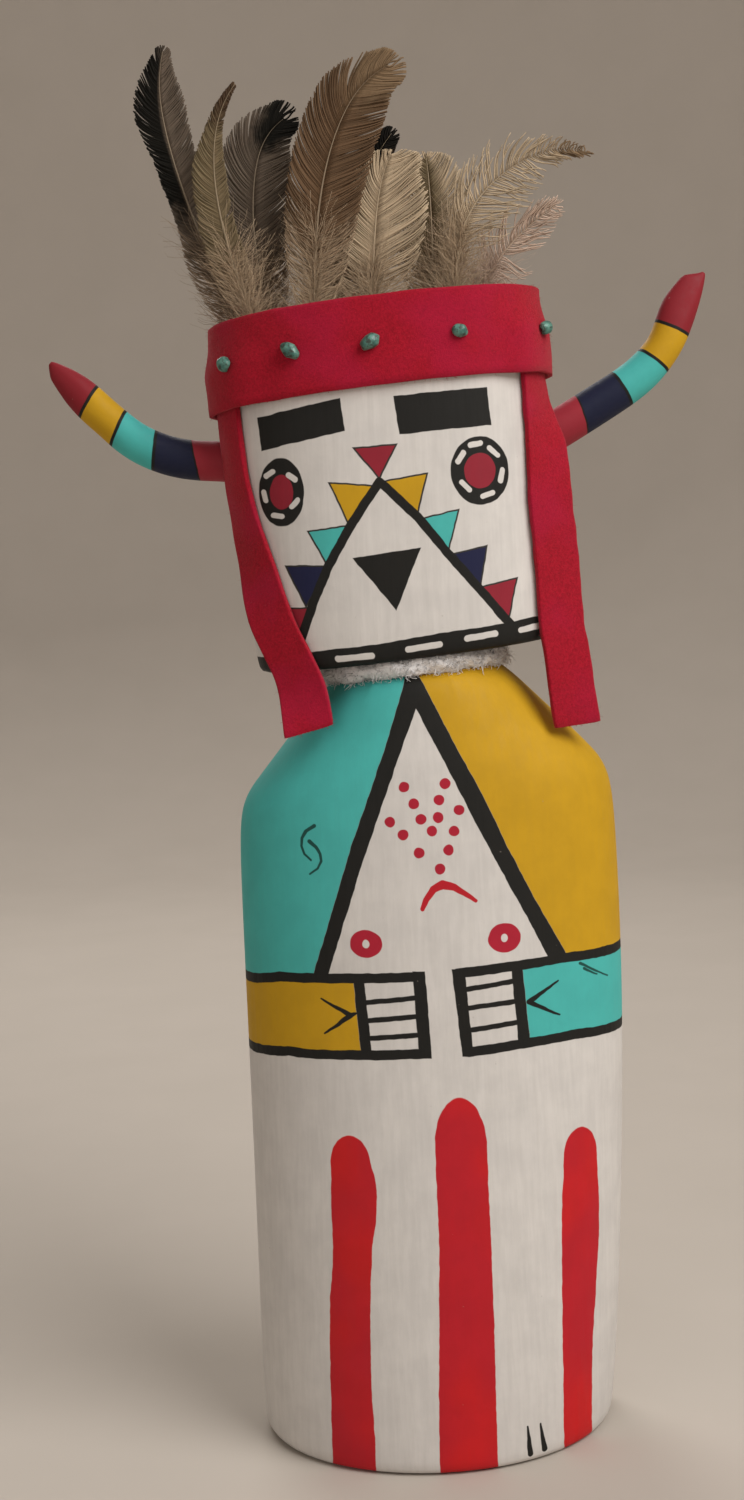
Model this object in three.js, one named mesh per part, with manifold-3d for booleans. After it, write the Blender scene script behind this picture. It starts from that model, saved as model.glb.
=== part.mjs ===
// A carved and painted flat doll with a felt headband, horns, turquoise chips and feathers.
// Millimetres, +Z up. The doll faces -Y, +X is to the right of someone who looks at its face,
// and the origin is the middle of the flat base that it stands on.
import * as THREE from "three";
import { mergeVertices } from "three/addons/utils/BufferGeometryUtils.js";
import Module from "manifold-3d";

const wasm = await Module();
wasm.setup();

// Carved body: heights run along its leaning middle line
const TORSO_HEIGHT = 200; // base to the notch under the chin
const NECK_HEIGHT = 5; // the open notch between shoulders and chin
const HEAD_HEIGHT = 83; // chin to the flat top of the head
const TORSO_HALF_WIDTH = 49.6;
const TORSO_FRONT = 39; // how far the base bulges to the front of the widest plane
const LOG_BACK = 10; // from the widest plane back to the flat back
const NECK_HALF_WIDTH = 19;
const NECK_FRONT = 18;
const NECK_BACK = 4.2;
const HEAD_HALF_WIDTH = 40.8;
const HEAD_FRONT = 27;
const EDGE_ROUND = 1; // softened edges of the base, chin and head top

// Felt
const FELT = 1.4; // thickness
const FELT_GAP = 0.35; // between felt and what it lies on
const FELT_SPARE = 0.3; // extra room where the band goes over a strap
const BAND_HEIGHT = 21.5;
const BAND_RISE = 3.2; // stands above the top of the head
const BAND_PITCH = 0.055; // the front of the band sits higher, as a slope
const STRAP_WIDTH = 12.4;
const STRAP_TUCK = 10; // length of a strap under the band

// Trim
const CHIP_SIZE = 2.3; // mean radius of a turquoise nugget
const CHIP_GAP = 0.3;
const RUFF_GAP = 0.35;
const RUFF_THICKNESS = 5; // from the neck to the outside of the fleece
const HORN_DIAMETER = 10.8; // at the head
const HORN_REACH = 44; // how far a horn stands out from the side of the head
const HORN_GAP = 0.3;
const QUILL_DIAMETER = 1.8;
const QUILL_GAP = 0.3;
const QUILL_DEPTH = 7; // how deep a quill sits in the head
const QUILL_BARE = 1; // of a quill above the head, before its feather leans
const FEATHER_LENGTH = 72; // the longest one, above the head
const VANE_HALF = 10; // unit of the vanes' listed half widths
const FEATHER_THICKNESS = 0.9; // a vane at its shaft

// Facets
const AROUND_FRONT = 26; // steps round the front of a body section
const AROUND_BACK = 14;
const RIBBON_ACROSS = 6;
const HORN_SIDES = 14;

// The widest plane is set so that the base is centred on the origin
const WIDEST_Y = (TORSO_FRONT - LOG_BACK) / 2;
const CHIN = TORSO_HEIGHT + NECK_HEIGHT;
const HEAD_TOP = CHIN + HEAD_HEIGHT;
const BAND_BOTTOM = HEAD_TOP + BAND_RISE - BAND_HEIGHT;

const RED_FELT = new THREE.MeshStandardMaterial({ color: 0xb01830, roughness: 0.95 });
const PAINTED_WOOD = new THREE.MeshStandardMaterial({ color: 0xd8d2ca, roughness: 0.8 });
const HORN_PAINT = new THREE.MeshStandardMaterial({ color: 0x8c2d38, roughness: 0.6 });
const TURQUOISE = new THREE.MeshStandardMaterial({ color: 0x5fa090, roughness: 0.4 });
const FLEECE = new THREE.MeshStandardMaterial({ color: 0xe2dcd8, roughness: 1 });
const FEATHER = new THREE.MeshStandardMaterial({ color: 0xa08c70, roughness: 0.85 });

const radians = (degrees) => (degrees * Math.PI) / 180;
const mix = (a, b, t) => a + (b - a) * t;
const ramp = (from, to, x) => THREE.MathUtils.smoothstep(x, from, to);

// A smooth height-to-value curve through [position, value] pairs that never overshoots them
function profile(pairs) {
  const slope = (i) => (pairs[i + 1][1] - pairs[i][1]) / (pairs[i + 1][0] - pairs[i][0]);
  const tangents = pairs.map((_, i) => {
    if (i === 0) return slope(0);
    if (i === pairs.length - 1) return slope(i - 1);
    const before = slope(i - 1);
    const after = slope(i);
    return before * after <= 0 ? 0 : (2 * before * after) / (before + after);
  });
  return (x) => {
    if (x <= pairs[0][0]) return pairs[0][1];
    if (x >= pairs[pairs.length - 1][0]) return pairs[pairs.length - 1][1];
    const i = pairs.findIndex((pair, k) => k > 0 && x <= pair[0]) - 1;
    const span = pairs[i + 1][0] - pairs[i][0];
    const t = (x - pairs[i][0]) / span;
    const bend = [tangents[i] * span, tangents[i + 1] * span];
    const [low, high] = [pairs[i][1], pairs[i + 1][1]];
    return low * (1 - t) ** 2 * (1 + 2 * t) + high * t ** 2 * (3 - 2 * t) +
      bend[0] * t * (1 - t) ** 2 - bend[1] * t ** 2 * (1 - t);
  };
}

// A closed body from rings of points. Each ring closes on itself; the last ring joins the
// first where the body is a hoop, and otherwise both ends get a flat fan.
function bodyFromRings(rings, hoop = false) {
  const count = rings[0].length;
  const points = rings.flat();
  const faces = [];
  const quadRow = (low, high) => {
    for (let k = 0; k < count; k++) {
      const next = (k + 1) % count;
      faces.push(low * count + k, low * count + next, high * count + next);
      faces.push(low * count + k, high * count + next, high * count + k);
    }
  };
  for (let i = 0; i + 1 < rings.length; i++) quadRow(i, i + 1);
  if (hoop) quadRow(rings.length - 1, 0);
  else {
    for (const [ring, turned] of [[0, true], [rings.length - 1, false]]) {
      const centre = points.length;
      const sum = rings[ring].reduce((total, p) => total.add(p), new THREE.Vector3());
      points.push(sum.divideScalar(count));
      for (let k = 0; k < count; k++) {
        const next = (k + 1) % count;
        const pair = turned ? [next, k] : [k, next];
        faces.push(centre, ring * count + pair[0], ring * count + pair[1]);
      }
    }
  }
  const geometry = new THREE.BufferGeometry().setFromPoints(points);
  geometry.setIndex(facingOut(points, faces));
  return geometry;
}

// Turns all faces round if the volume they enclose comes out negative
function facingOut(points, faces) {
  let volume = 0;
  for (let i = 0; i < faces.length; i += 3) {
    const [a, b, c] = [points[faces[i]], points[faces[i + 1]], points[faces[i + 2]]];
    volume += a.dot(new THREE.Vector3().crossVectors(b, c));
  }
  if (volume >= 0) return faces;
  return faces.map((_, i) => faces[i - (i % 3) + [0, 2, 1][i % 3]]);
}

function toManifold(geometry) {
  const bare = geometry.clone();
  bare.deleteAttribute("normal");
  bare.deleteAttribute("uv");
  const merged = mergeVertices(bare, 1e-4);
  return new wasm.Manifold(new wasm.Mesh({
    numProp: 3,
    vertProperties: merged.attributes.position.array,
    triVerts: new Uint32Array(merged.index.array),
  }));
}

function fromManifold(solid) {
  const mesh = solid.getMesh();
  const geometry = new THREE.BufferGeometry();
  geometry.setAttribute("position", new THREE.BufferAttribute(mesh.vertProperties, 3));
  geometry.setIndex(new THREE.BufferAttribute(mesh.triVerts, 1));
  return geometry;
}

const doll = new THREE.Group();
function addPiece(name, geometry, material) {
  const mesh = new THREE.Mesh(geometry, material);
  mesh.name = name;
  geometry.computeVertexNormals();
  doll.add(mesh);
}

// The carved log: a middle line that bows and leans, and a section for each height on it.
// Positions and values are shares of the torso's or head's own sizes.
const leaning = profile([
  [0, 0.002], [0.3 * TORSO_HEIGHT, 0.048], [0.62 * TORSO_HEIGHT, 0.071],
  [0.85 * TORSO_HEIGHT, 0.065], [TORSO_HEIGHT, 0.032], [CHIN, 0.004], [HEAD_TOP, -0.103],
]);
const middleX = (h) => TORSO_HALF_WIDTH * leaning(h);
const levelTilt = profile([
  [0, 0], [0.6 * TORSO_HEIGHT, 0.6], [0.86 * TORSO_HEIGHT, 3], [TORSO_HEIGHT, 4.4],
  [CHIN, 4.6], [HEAD_TOP, 4.6],
]);
const torsoWidth = profile([
  [0, 0.938], [0.1, 0.96], [0.3, 0.982], [0.62, 1], [0.8, 0.992], [0.835, 0.975],
  [0.862, 0.935], [0.885, 0.86], [0.94, 0.66], [1, 0.45],
]);
const torsoDepth = profile([
  [0, 1], [0.1, 0.97], [0.3, 0.905], [0.5, 0.83], [0.75, 0.765], [0.87, 0.72], [1, 0.63],
]);
const headWidth = profile([[0, 0.953], [0.4, 0.975], [1, 1]]);
const headDepth = profile([[0, 0.97], [0.5, 1], [1, 0.99]]);

// How square the front of a section is: 2 is an ellipse
const TORSO_POWER = [2, 2.15]; // at the base and at the shoulders
const HEAD_POWER = 2.35;
const NECK_POWER = 2.1;
const BACK_POWER = 4.5;

function torsoShape(h) {
  const share = h / TORSO_HEIGHT;
  return {
    half: TORSO_HALF_WIDTH * torsoWidth(share),
    front: TORSO_FRONT * torsoDepth(share),
    back: LOG_BACK,
    power: mix(TORSO_POWER[0], TORSO_POWER[1], share),
  };
}

function headShape(h) {
  const share = (h - CHIN) / HEAD_HEIGHT;
  return {
    half: HEAD_HALF_WIDTH * headWidth(share),
    front: HEAD_FRONT * headDepth(share),
    back: LOG_BACK,
    power: HEAD_POWER,
  };
}

const neckShape = () => ({
  half: NECK_HALF_WIDTH, front: NECK_FRONT, back: NECK_BACK, power: NECK_POWER,
});

// A point across and in front of the middle line at height h
function place(h, across, y) {
  const tilt = radians(levelTilt(h));
  return new THREE.Vector3(
    middleX(h) + across * Math.cos(tilt), y, h + across * Math.sin(tilt));
}

// The outline of a section, grown by a clearance, as [across, y] pairs: the round front from
// left to right, then the flat back with its rounded corners
function sectionOutline(shape, grow = 0) {
  const half = shape.half + grow;
  const outline = [];
  const arc = (steps, depth, power, start) => {
    for (let k = 0; k < steps; k++) {
      const angle = start + (Math.PI * k) / steps;
      const [c, s] = [Math.cos(angle), Math.sin(angle)];
      outline.push([
        -half * Math.sign(c) * Math.abs(c) ** (2 / power),
        WIDEST_Y - depth * Math.sign(s) * Math.abs(s) ** (2 / power),
      ]);
    }
  };
  arc(AROUND_FRONT, shape.front + grow, shape.power, 0);
  arc(AROUND_BACK, shape.back + grow, BACK_POWER, Math.PI);
  return outline;
}

const sectionRing = (h, shape, grow = 0) =>
  sectionOutline(shape, grow).map(([across, y]) => place(h, across, y));

const steps = (from, to, count) =>
  Array.from({ length: count + 1 }, (_, i) => mix(from, to, i / count));

function carvedBody() {
  const rings = [];
  const torsoHeights = [
    EDGE_ROUND, ...steps(0.1, 0.8, 7).map((s) => s * TORSO_HEIGHT),
    ...steps(0.835, 0.9, 4).map((s) => s * TORSO_HEIGHT), 0.95 * TORSO_HEIGHT,
  ];
  rings.push(sectionRing(0, torsoShape(0), -EDGE_ROUND));
  for (const h of torsoHeights) rings.push(sectionRing(h, torsoShape(h)));
  rings.push(sectionRing(TORSO_HEIGHT, torsoShape(TORSO_HEIGHT)));
  rings.push(sectionRing(TORSO_HEIGHT, neckShape()));
  rings.push(sectionRing(CHIN, neckShape()));
  rings.push(sectionRing(CHIN, headShape(CHIN), -EDGE_ROUND));
  for (const h of steps(CHIN + EDGE_ROUND, HEAD_TOP - EDGE_ROUND, 6)) {
    rings.push(sectionRing(h, headShape(h)));
  }
  rings.push(sectionRing(HEAD_TOP, headShape(HEAD_TOP), -EDGE_ROUND));
  return toManifold(bodyFromRings(rings));
}

// The head alone, grown by a clearance and run a little past both ends, to cope horns to it
function grownHead(grow) {
  const rings = steps(CHIN - grow, HEAD_TOP + grow, 7).map((h) =>
    sectionRing(h, headShape(h), grow));
  return toManifold(bodyFromRings(rings));
}

// Felt straps. The inner edge is where the strap meets the painted face, at each height.
// From there the felt follows the head round until it has turned by the given angle in
// degrees, and goes on straight, so its width stays the same. Heights are shares of the head
// above the chin, or of the torso below it. The inner edge is a share of the head's half
// width, and the two ends of the cut at the bottom are heights too.
const STRAPS = {
  strap_left: {
    side: -1,
    inner: [[-0.09, 0.565], [-0.035, 0.578], [0, 0.595], [0.046, 0.628], [0.108, 0.668],
      [0.186, 0.72], [0.256, 0.745], [0.332, 0.78], [0.411, 0.822], [0.494, 0.858],
      [0.59, 0.885], [0.7, 0.895], [1, 0.882]],
    turn: [[-0.09, 3], [-0.05, 14], [-0.02, 27], [0.133, 28], [0.277, 46], [0.482, 72], [1, 80]],
    cut: { outer: -0.084, inner: -0.073 },
  },
  strap_right: {
    side: 1,
    inner: [[-0.115, 0.795], [-0.075, 0.78], [-0.025, 0.782], [0.036, 0.794], [0.253, 0.816],
      [0.422, 0.811], [0.542, 0.831], [0.687, 0.838], [1, 0.848]],
    turn: [[-0.115, 16], [0, 22], [0.422, 26], [0.578, 34], [0.687, 56], [0.795, 76], [1, 80]],
    cut: { outer: -0.1105, inner: -0.112 },
  },
};
const strapHeight = (share) => CHIN + share * (share < 0 ? TORSO_HEIGHT : HEAD_HEIGHT);
const byHeight = (pairs) => profile(pairs.map(([share, value]) => [strapHeight(share), value]));
const WALK = 0.2; // step along the felt's width while it is laid on the head

// The front half of a section as a depth for each distance across
function frontY(shape, across, grow) {
  const half = shape.half + grow;
  const share = Math.min(Math.abs(across) / half, 1);
  return WIDEST_Y - (shape.front + grow) * (1 - share ** shape.power) ** (1 / shape.power);
}

// Half the width of the felt at one height, from the inner edge outward, as [across, y]
function strapLine(strap, h) {
  const shape = headShape(Math.max(h, CHIN));
  const grow = FELT_GAP + FELT / 2;
  const most = radians(byHeight(strap.turn)(h));
  let across = HEAD_HALF_WIDTH * byHeight(strap.inner)(h);
  let y = frontY(shape, across, grow);
  const line = [[across, y]];
  let turned = 0;
  for (let walked = 0; walked < STRAP_WIDTH; walked += WALK) {
    const ahead = frontY(shape, across + WALK * 0.5, grow);
    const steep = Math.atan2(ahead - frontY(shape, across, grow), WALK * 0.5);
    turned = Math.max(turned, Math.min(steep, most));
    across += WALK * Math.cos(turned);
    y += WALK * Math.sin(turned);
    line.push([across, y]);
  }
  return line;
}

function strapBody(strap) {
  const top = BAND_BOTTOM + STRAP_TUCK;
  const rings = steps(0, 1, 16).map((t) => {
    const front = [];
    const back = [];
    for (let k = 0; k <= RIBBON_ACROSS; k++) {
      const share = k / RIBBON_ACROSS;
      const cut = strapHeight(mix(strap.cut.inner, strap.cut.outer, share));
      const h = mix(cut, top, t);
      const line = strapLine(strap, h);
      const at = Math.round(share * (line.length - 1));
      const [across, y] = line[at];
      const before = line[Math.max(at - 3, 0)];
      const after = line[Math.min(at + 3, line.length - 1)];
      const run = new THREE.Vector2(after[0] - before[0], after[1] - before[1]).normalize();
      const side = FELT / 2;
      front.push(place(h, strap.side * (across + run.y * side), y - run.x * side));
      back.push(place(h, strap.side * (across - run.y * side), y + run.x * side));
    }
    return [...front, ...back.reverse()];
  });
  return bodyFromRings(rings);
}

// Felt headband: a hoop round the head, eased outward where the straps are tucked under it,
// and back to the head over short lengths in front of them, behind them and above them
const EASE_FRONT = [0.72, 0.815]; // shares of the head's half width
const EASE_BACK = [0.1, 0.8]; // shares of the back's depth, behind the widest plane
const EASE_UP = [1.15, 1.6]; // shares of the tuck
function bandOffset(across, y, rise) {
  const onFront = 1 - ramp(...EASE_BACK.map((share) => WIDEST_Y + share * LOG_BACK), y);
  const overStrap = ramp(...EASE_FRONT.map((share) => share * HEAD_HALF_WIDTH), Math.abs(across));
  const tucked = 1 - ramp(...EASE_UP.map((share) => share * STRAP_TUCK), rise);
  return FELT_GAP + onFront * overStrap * tucked * (FELT + FELT_GAP + FELT_SPARE);
}

// The way out from a point of a section's outline, softened at the corners of the back
const OUTWARD_POWER = 1.6;
function outwardAt(shape, across, y) {
  const depth = y < WIDEST_Y ? shape.front : shape.back;
  const pull = (value, reach) => (Math.sign(value) * Math.abs(value / reach) ** OUTWARD_POWER) / reach;
  return new THREE.Vector2(pull(across, shape.half), pull(y - WIDEST_Y, depth)).normalize();
}

// A point at some distance outside the band's inner face, by the spot of the head behind it
function bandPoint(across, y, rise, outward) {
  const shape = headShape(Math.min(BAND_BOTTOM + rise, HEAD_TOP));
  const offset = bandOffset(across, y, rise) + outward;
  const out = outwardAt(shape, across, y);
  const h = BAND_BOTTOM + rise + BAND_PITCH * (WIDEST_Y - y);
  return place(h, across + out.x * offset, y + out.y * offset);
}

function bandRing(rise, outward) {
  const shape = headShape(Math.min(BAND_BOTTOM + rise, HEAD_TOP));
  return sectionOutline(shape).map(([across, y]) => bandPoint(across, y, rise, outward));
}

function headbandBody() {
  const rises = [0, 0.35, 0.5, 0.65, 0.85, 1].map((s) => s * BAND_HEIGHT);
  const outer = rises.map((rise) => bandRing(rise, FELT));
  const inner = rises.map((rise) => bandRing(rise, 0)).reverse();
  return bodyFromRings([...outer, ...inner], true);
}

// Turquoise chips on the band: across from its middle as a share of the head's half width,
// and height on it as a share
const CHIP_STAND = 0.2; // a nugget's middle stands this share of its radius off the felt
const CHIP_LUMP = 0.13;
const CHIP_FLAT = 0.85;
const CHIPS = [
  { across: -0.868, rise: 0.5, size: 0.9, turn: 0.3, stretch: 1 },
  { across: -0.537, rise: 0.51, size: 1.02, turn: 0.7, stretch: 1.25 },
  { across: -0.083, rise: 0.48, size: 1, turn: -0.5, stretch: 1.2 },
  { across: 0.449, rise: 0.5, size: 0.85, turn: 0.1, stretch: 1.1 },
  { across: 0.922, rise: 0.5, size: 0.95, turn: -0.2, stretch: 1.15 },
];

function chipBody(chip, number, grownBand) {
  const nugget = new THREE.IcosahedronGeometry(1, 1);
  nugget.deleteAttribute("normal");
  nugget.deleteAttribute("uv");
  const merged = mergeVertices(nugget, 1e-4);
  const spots = merged.attributes.position;
  for (let i = 0; i < spots.count; i++) {
    const p = new THREE.Vector3().fromBufferAttribute(spots, i);
    const lump = 1 + CHIP_LUMP * Math.sin(p.x * 4.8 + number) * Math.cos(p.z * 3.9 + number * 2);
    p.multiplyScalar(lump * CHIP_SIZE * chip.size);
    spots.setXYZ(i, p.x * chip.stretch, p.y * CHIP_FLAT, p.z / chip.stretch);
  }
  const rise = chip.rise * BAND_HEIGHT;
  const shape = headShape(BAND_BOTTOM + rise);
  const across = chip.across * HEAD_HALF_WIDTH;
  const y = frontY(shape, across, 0);
  const spot = bandPoint(across, y, rise, FELT + CHIP_GAP + CHIP_STAND * CHIP_SIZE);
  const out = outwardAt(shape, across, y);
  merged.rotateY(chip.turn);
  merged.rotateZ(Math.atan2(out.x, -out.y));
  merged.translate(spot.x, spot.y, spot.z);
  return fromManifold(toManifold(merged).subtract(grownBand));
}

// The band filled in and grown by a gap, to give each chip a back that fits it
function grownBandBody() {
  const rises = [-0.1, 0.35, 0.5, 0.65, 0.85, 1.1].map((s) => s * BAND_HEIGHT);
  return toManifold(bodyFromRings(rises.map((rise) => bandRing(rise, FELT + CHIP_GAP))));
}

// Fleece ruff: a lumpy hoop in the notch between shoulders and chin
const RUFF_LUMPS = [[17, 0.1, 0], [7, 0.05, 1]]; // count round the neck, size, start angle
function ruffBody() {
  const middle = (TORSO_HEIGHT + CHIN) / 2;
  const tall = NECK_HEIGHT / 2 - RUFF_GAP;
  const outline = sectionOutline(neckShape(), RUFF_GAP + RUFF_THICKNESS / 2);
  const rings = outline.map(([across, y], i) => {
    const out = new THREE.Vector2(across, (y - WIDEST_Y) * 1.1).normalize();
    const turn = (i / outline.length) * 2 * Math.PI;
    const lump = RUFF_LUMPS.reduce(
      (total, [count, size, start]) => total + size * Math.sin(turn * count + start), 1);
    return steps(0, 1 - 1 / 8, 7).map((t) => {
      const round = t * 2 * Math.PI;
      const reach = Math.cos(round) > 0 ? lump : 1;
      const away = (RUFF_THICKNESS / 2) * Math.cos(round) * reach;
      return place(middle + tall * Math.sin(round), across + out.x * away, y + out.y * away);
    });
  });
  return bodyFromRings(rings, true);
}

// Horns: outward and upward from the side of the head, as shares of their reach. drop is how
// far a horn's root stays below the band, as a share of its diameter.
const HORNS = {
  horn_left: {
    side: -1,
    drop: 0.546,
    line: [[-0.068, -0.005], [0, 0.005], [0.28, 0.034], [0.518, 0.132], [0.698, 0.291],
      [0.841, 0.455], [1, 0.611]],
  },
  horn_right: {
    side: 1,
    drop: 0.917,
    line: [[-0.068, -0.043], [0, 0], [0.359, 0.202], [0.595, 0.35], [0.75, 0.514],
      [0.859, 0.695], [0.995, 0.932]],
  },
};
const hornGirth = profile([
  [0, 1], [0.3, 0.97], [0.5, 0.93], [0.68, 0.85], [0.8, 0.74], [0.92, 0.46], [1, 0.13],
]);

const hornHeight = (horn) => BAND_BOTTOM - (0.5 + horn.drop) * HORN_DIAMETER;

// The horns stand just behind the felt that comes back furthest beside one of their roots
function hornPlane() {
  const edges = Object.values(HORNS).flatMap((horn) => {
    const strap = Object.values(STRAPS).find(({ side }) => side === horn.side);
    const root = hornHeight(horn);
    return steps(root - HORN_DIAMETER, root + HORN_DIAMETER, 8).map((h) => strapLine(strap, h).at(-1)[1]);
  });
  return Math.max(...edges) + FELT_GAP + HORN_DIAMETER / 2;
}

function hornBody(horn, y, grown) {
  const height = hornHeight(horn);
  const root = place(height, horn.side * headShape(height).half, 0);
  const path = new THREE.CatmullRomCurve3(horn.line.map(([out, up]) => new THREE.Vector3(
    root.x + horn.side * out * HORN_REACH, y, root.z + up * HORN_REACH)));
  const rings = steps(0, 1, 18).map((t) => {
    const spot = path.getPoint(t);
    const along = path.getTangent(t);
    const upward = new THREE.Vector3(-along.z, 0, along.x);
    const radius = (HORN_DIAMETER / 2) * hornGirth(t);
    return steps(0, 1 - 1 / HORN_SIDES, HORN_SIDES - 1).map((s) => {
      const round = s * 2 * Math.PI;
      return spot.clone()
        .addScaledVector(upward, radius * Math.cos(round))
        .add(new THREE.Vector3(0, radius * Math.sin(round), 0));
    });
  });
  return fromManifold(toManifold(bodyFromRings(rings)).subtract(grown));
}

// Feathers, from left to right. across and behind say where the quill stands on the head, as
// shares of its half width and of its front, and length is a share of the longest one. lean is
// how far the shaft leans to the right at five places along it, in degrees. left and right
// are the vane's half widths, and nod is how far the tip comes forward, both in vane units.
const FEATHERS = [
  { across: -0.838, behind: -0.167, length: 1, lean: [-18, -20, -17, -9, 16], nod: 0.3,
    left: [0.35, 0.62, 0.44, 0.46, 0.68, 0.2], right: [0.3, 0.4, 0.34, 0.58, 0.6, 0.2] },
  { across: -0.74, behind: -0.352, length: 0.86, lean: [-17, -15, -8, 8, 40], nod: 0.3,
    left: [0.3, 0.55, 0.58, 0.56, 0.28, 0.08], right: [0.25, 0.4, 0.32, 0.3, 0.16, 0.06] },
  { across: -0.632, behind: 0.056, length: 0.78, lean: [-12, -8, 0, 14, 58], nod: 0.1,
    left: [0.4, 0.7, 0.85, 0.92, 0.9, 0.5], right: [0.4, 0.75, 0.9, 0.95, 0.85, 0.45] },
  { across: -0.385, behind: -0.278, length: 0.945, lean: [4, 5, 13, 28, 66], nod: 0.5,
    left: [0.4, 0.75, 0.84, 0.9, 0.88, 0.45], right: [0.4, 0.85, 1, 1.05, 0.98, 0.55] },
  { across: -0.275, behind: -0.019, length: 0.7, lean: [10, 13, 19, 26, 40], nod: 0.2,
    left: [0.4, 0.7, 0.65, 0.55, 0.46, 0.25], right: [0.4, 0.7, 0.65, 0.55, 0.46, 0.25] },
  { across: -0.015, behind: -0.185, length: 0.57, lean: [2, 4, 6, 12, 28], nod: 0.2,
    left: [0.45, 0.9, 1.05, 1.15, 1.1, 0.7], right: [0.45, 0.95, 1.15, 1.25, 1.2, 0.8] },
  { across: 0.38, behind: 0.074, length: 0.56, lean: [3, 1, 0, -2, -6], nod: 0.1,
    left: [0.45, 0.8, 0.95, 1.05, 1.05, 0.65], right: [0.45, 0.85, 0.95, 1, 0.9, 0.6] },
  { across: 0.5, behind: -0.278, length: 0.83, lean: [0, 12, 44, 70, 112], nod: 0.3,
    left: [0.4, 0.6, 0.7, 0.75, 0.4, 0.1], right: [0.4, 0.8, 1, 0.9, 0.5, 0.1] },
  { across: 0.647, behind: -0.074, length: 0.46, lean: [14, 30, 42, 52, 58], nod: 0.2,
    left: [0.4, 0.8, 0.9, 0.8, 0.55, 0.25], right: [0.4, 0.7, 0.75, 0.65, 0.5, 0.25] },
];
const BLADE_STEPS = 18;
const VANE_MIDDLE = 0.55; // where the middle points of a vane lie, as a share of its width
const QUILL_MIDDLE = 0.7; // the same for the quill, which is nearly round
const VANE_START = 0.06; // share of the shaft where the listed widths begin
const SHAFT_TIP = 0.35; // the shaft's tip as a share of the quill

const quillFoot = (feather) => {
  const y = WIDEST_Y + feather.behind * HEAD_FRONT;
  const spot = place(HEAD_TOP, feather.across * HEAD_HALF_WIDTH, y);
  return spot.addScaledVector(new THREE.Vector3(0, 0, -1), QUILL_DEPTH);
};

// Points along a feather's shaft with the direction there, straight up inside the head
function shaft(feather) {
  const spread = (values) => profile(values.map((v, i) => [i / (values.length - 1), v]));
  const lean = spread(feather.lean);
  const length = feather.length * FEATHER_LENGTH;
  const out = [{ spot: quillFoot(feather), angle: 0, t: 0, inside: true }];
  const rim = quillFoot(feather).add(new THREE.Vector3(0, 0, QUILL_DEPTH + QUILL_BARE));
  const spot = rim.clone();
  let t = 0;
  out.push({ spot: spot.clone(), angle: 0, t, inside: true });
  for (let k = 1; k <= BLADE_STEPS; k++) {
    const angle = radians(lean(t));
    const run = length / BLADE_STEPS;
    t = k / BLADE_STEPS;
    spot.x += run * Math.sin(angle);
    spot.z += run * Math.cos(angle);
    spot.y = rim.y - feather.nod * VANE_HALF * t ** 2;
    out.push({ spot: spot.clone(), angle: radians(lean(t)), t, inside: false });
  }
  return out;
}

function featherBody(feather) {
  const vane = (values) => profile(
    [[0, 0], ...values.map((v, i) => [mix(VANE_START, 1, i / (values.length - 1)), v * VANE_HALF])]);
  const widths = [vane(feather.left), vane(feather.right)];
  const rings = shaft(feather).map(({ spot, angle, t, inside }) => {
    const quill = (QUILL_DIAMETER / 2) * mix(1, SHAFT_TIP, t);
    const blade = inside ? 0 : ramp(0, 2 * VANE_START, t);
    const thick = mix(quill, (FEATHER_THICKNESS / 2) * mix(1, 0.5, t), blade);
    const middle = mix(QUILL_MIDDLE * quill, FEATHER_THICKNESS / 3, blade);
    const [left, right] = widths.map((w) => Math.max(quill, w(t) * blade));
    const share = mix(QUILL_MIDDLE, VANE_MIDDLE, blade);
    const outline = [
      [-left, 0], [-left * share, -middle], [0, -thick], [right * share, -middle],
      [right, 0], [right * share, middle], [0, thick], [-left * share, middle],
    ];
    return outline.map(([side, y]) => new THREE.Vector3(
      spot.x + side * Math.cos(angle), spot.y + y, spot.z - side * Math.sin(angle)));
  });
  return bodyFromRings(rings);
}

// Holes in the top of the head, one for each quill
function quillHole(feather) {
  const depth = QUILL_DEPTH + QUILL_GAP;
  const hole = new THREE.CylinderGeometry(
    QUILL_DIAMETER / 2 + QUILL_GAP, QUILL_DIAMETER / 2 + QUILL_GAP, depth * 2, 8);
  hole.rotateX(Math.PI / 2);
  const rim = quillFoot(feather).add(new THREE.Vector3(0, 0, QUILL_DEPTH));
  hole.translate(rim.x, rim.y, rim.z);
  return toManifold(hole);
}

let body = carvedBody();
for (const feather of FEATHERS) body = body.subtract(quillHole(feather));
addPiece("carved_body", fromManifold(body), PAINTED_WOOD);
addPiece("neck_ruff", ruffBody(), FLEECE);
addPiece("headband", headbandBody(), RED_FELT);
for (const [name, strap] of Object.entries(STRAPS)) addPiece(name, strapBody(strap), RED_FELT);
const grownBand = grownBandBody();
CHIPS.forEach((chip, i) =>
  addPiece(`turquoise_chip_${i + 1}`, chipBody(chip, i + 1, grownBand), TURQUOISE));
const grown = grownHead(HORN_GAP);
for (const [name, horn] of Object.entries(HORNS)) {
  addPiece(name, hornBody(horn, hornPlane(), grown), HORN_PAINT);
}
FEATHERS.forEach((feather, i) => addPiece(`feather_${i + 1}`, featherBody(feather), FEATHER));

export default doll;
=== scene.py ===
"""A carved and painted flat doll with felt, fleece, turquoise chips, horns and feathers.

Lengths in the tables are millimetres in the CAD frame, unless a name says PIXEL: those are
places in the 744 x 1500 photograph, which the camera throws back onto the carved body.
"""
import math
import bmesh
import bpy
import numpy as np
from mathutils import Matrix, Vector
from mathutils.bvhtree import BVHTree


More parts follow.
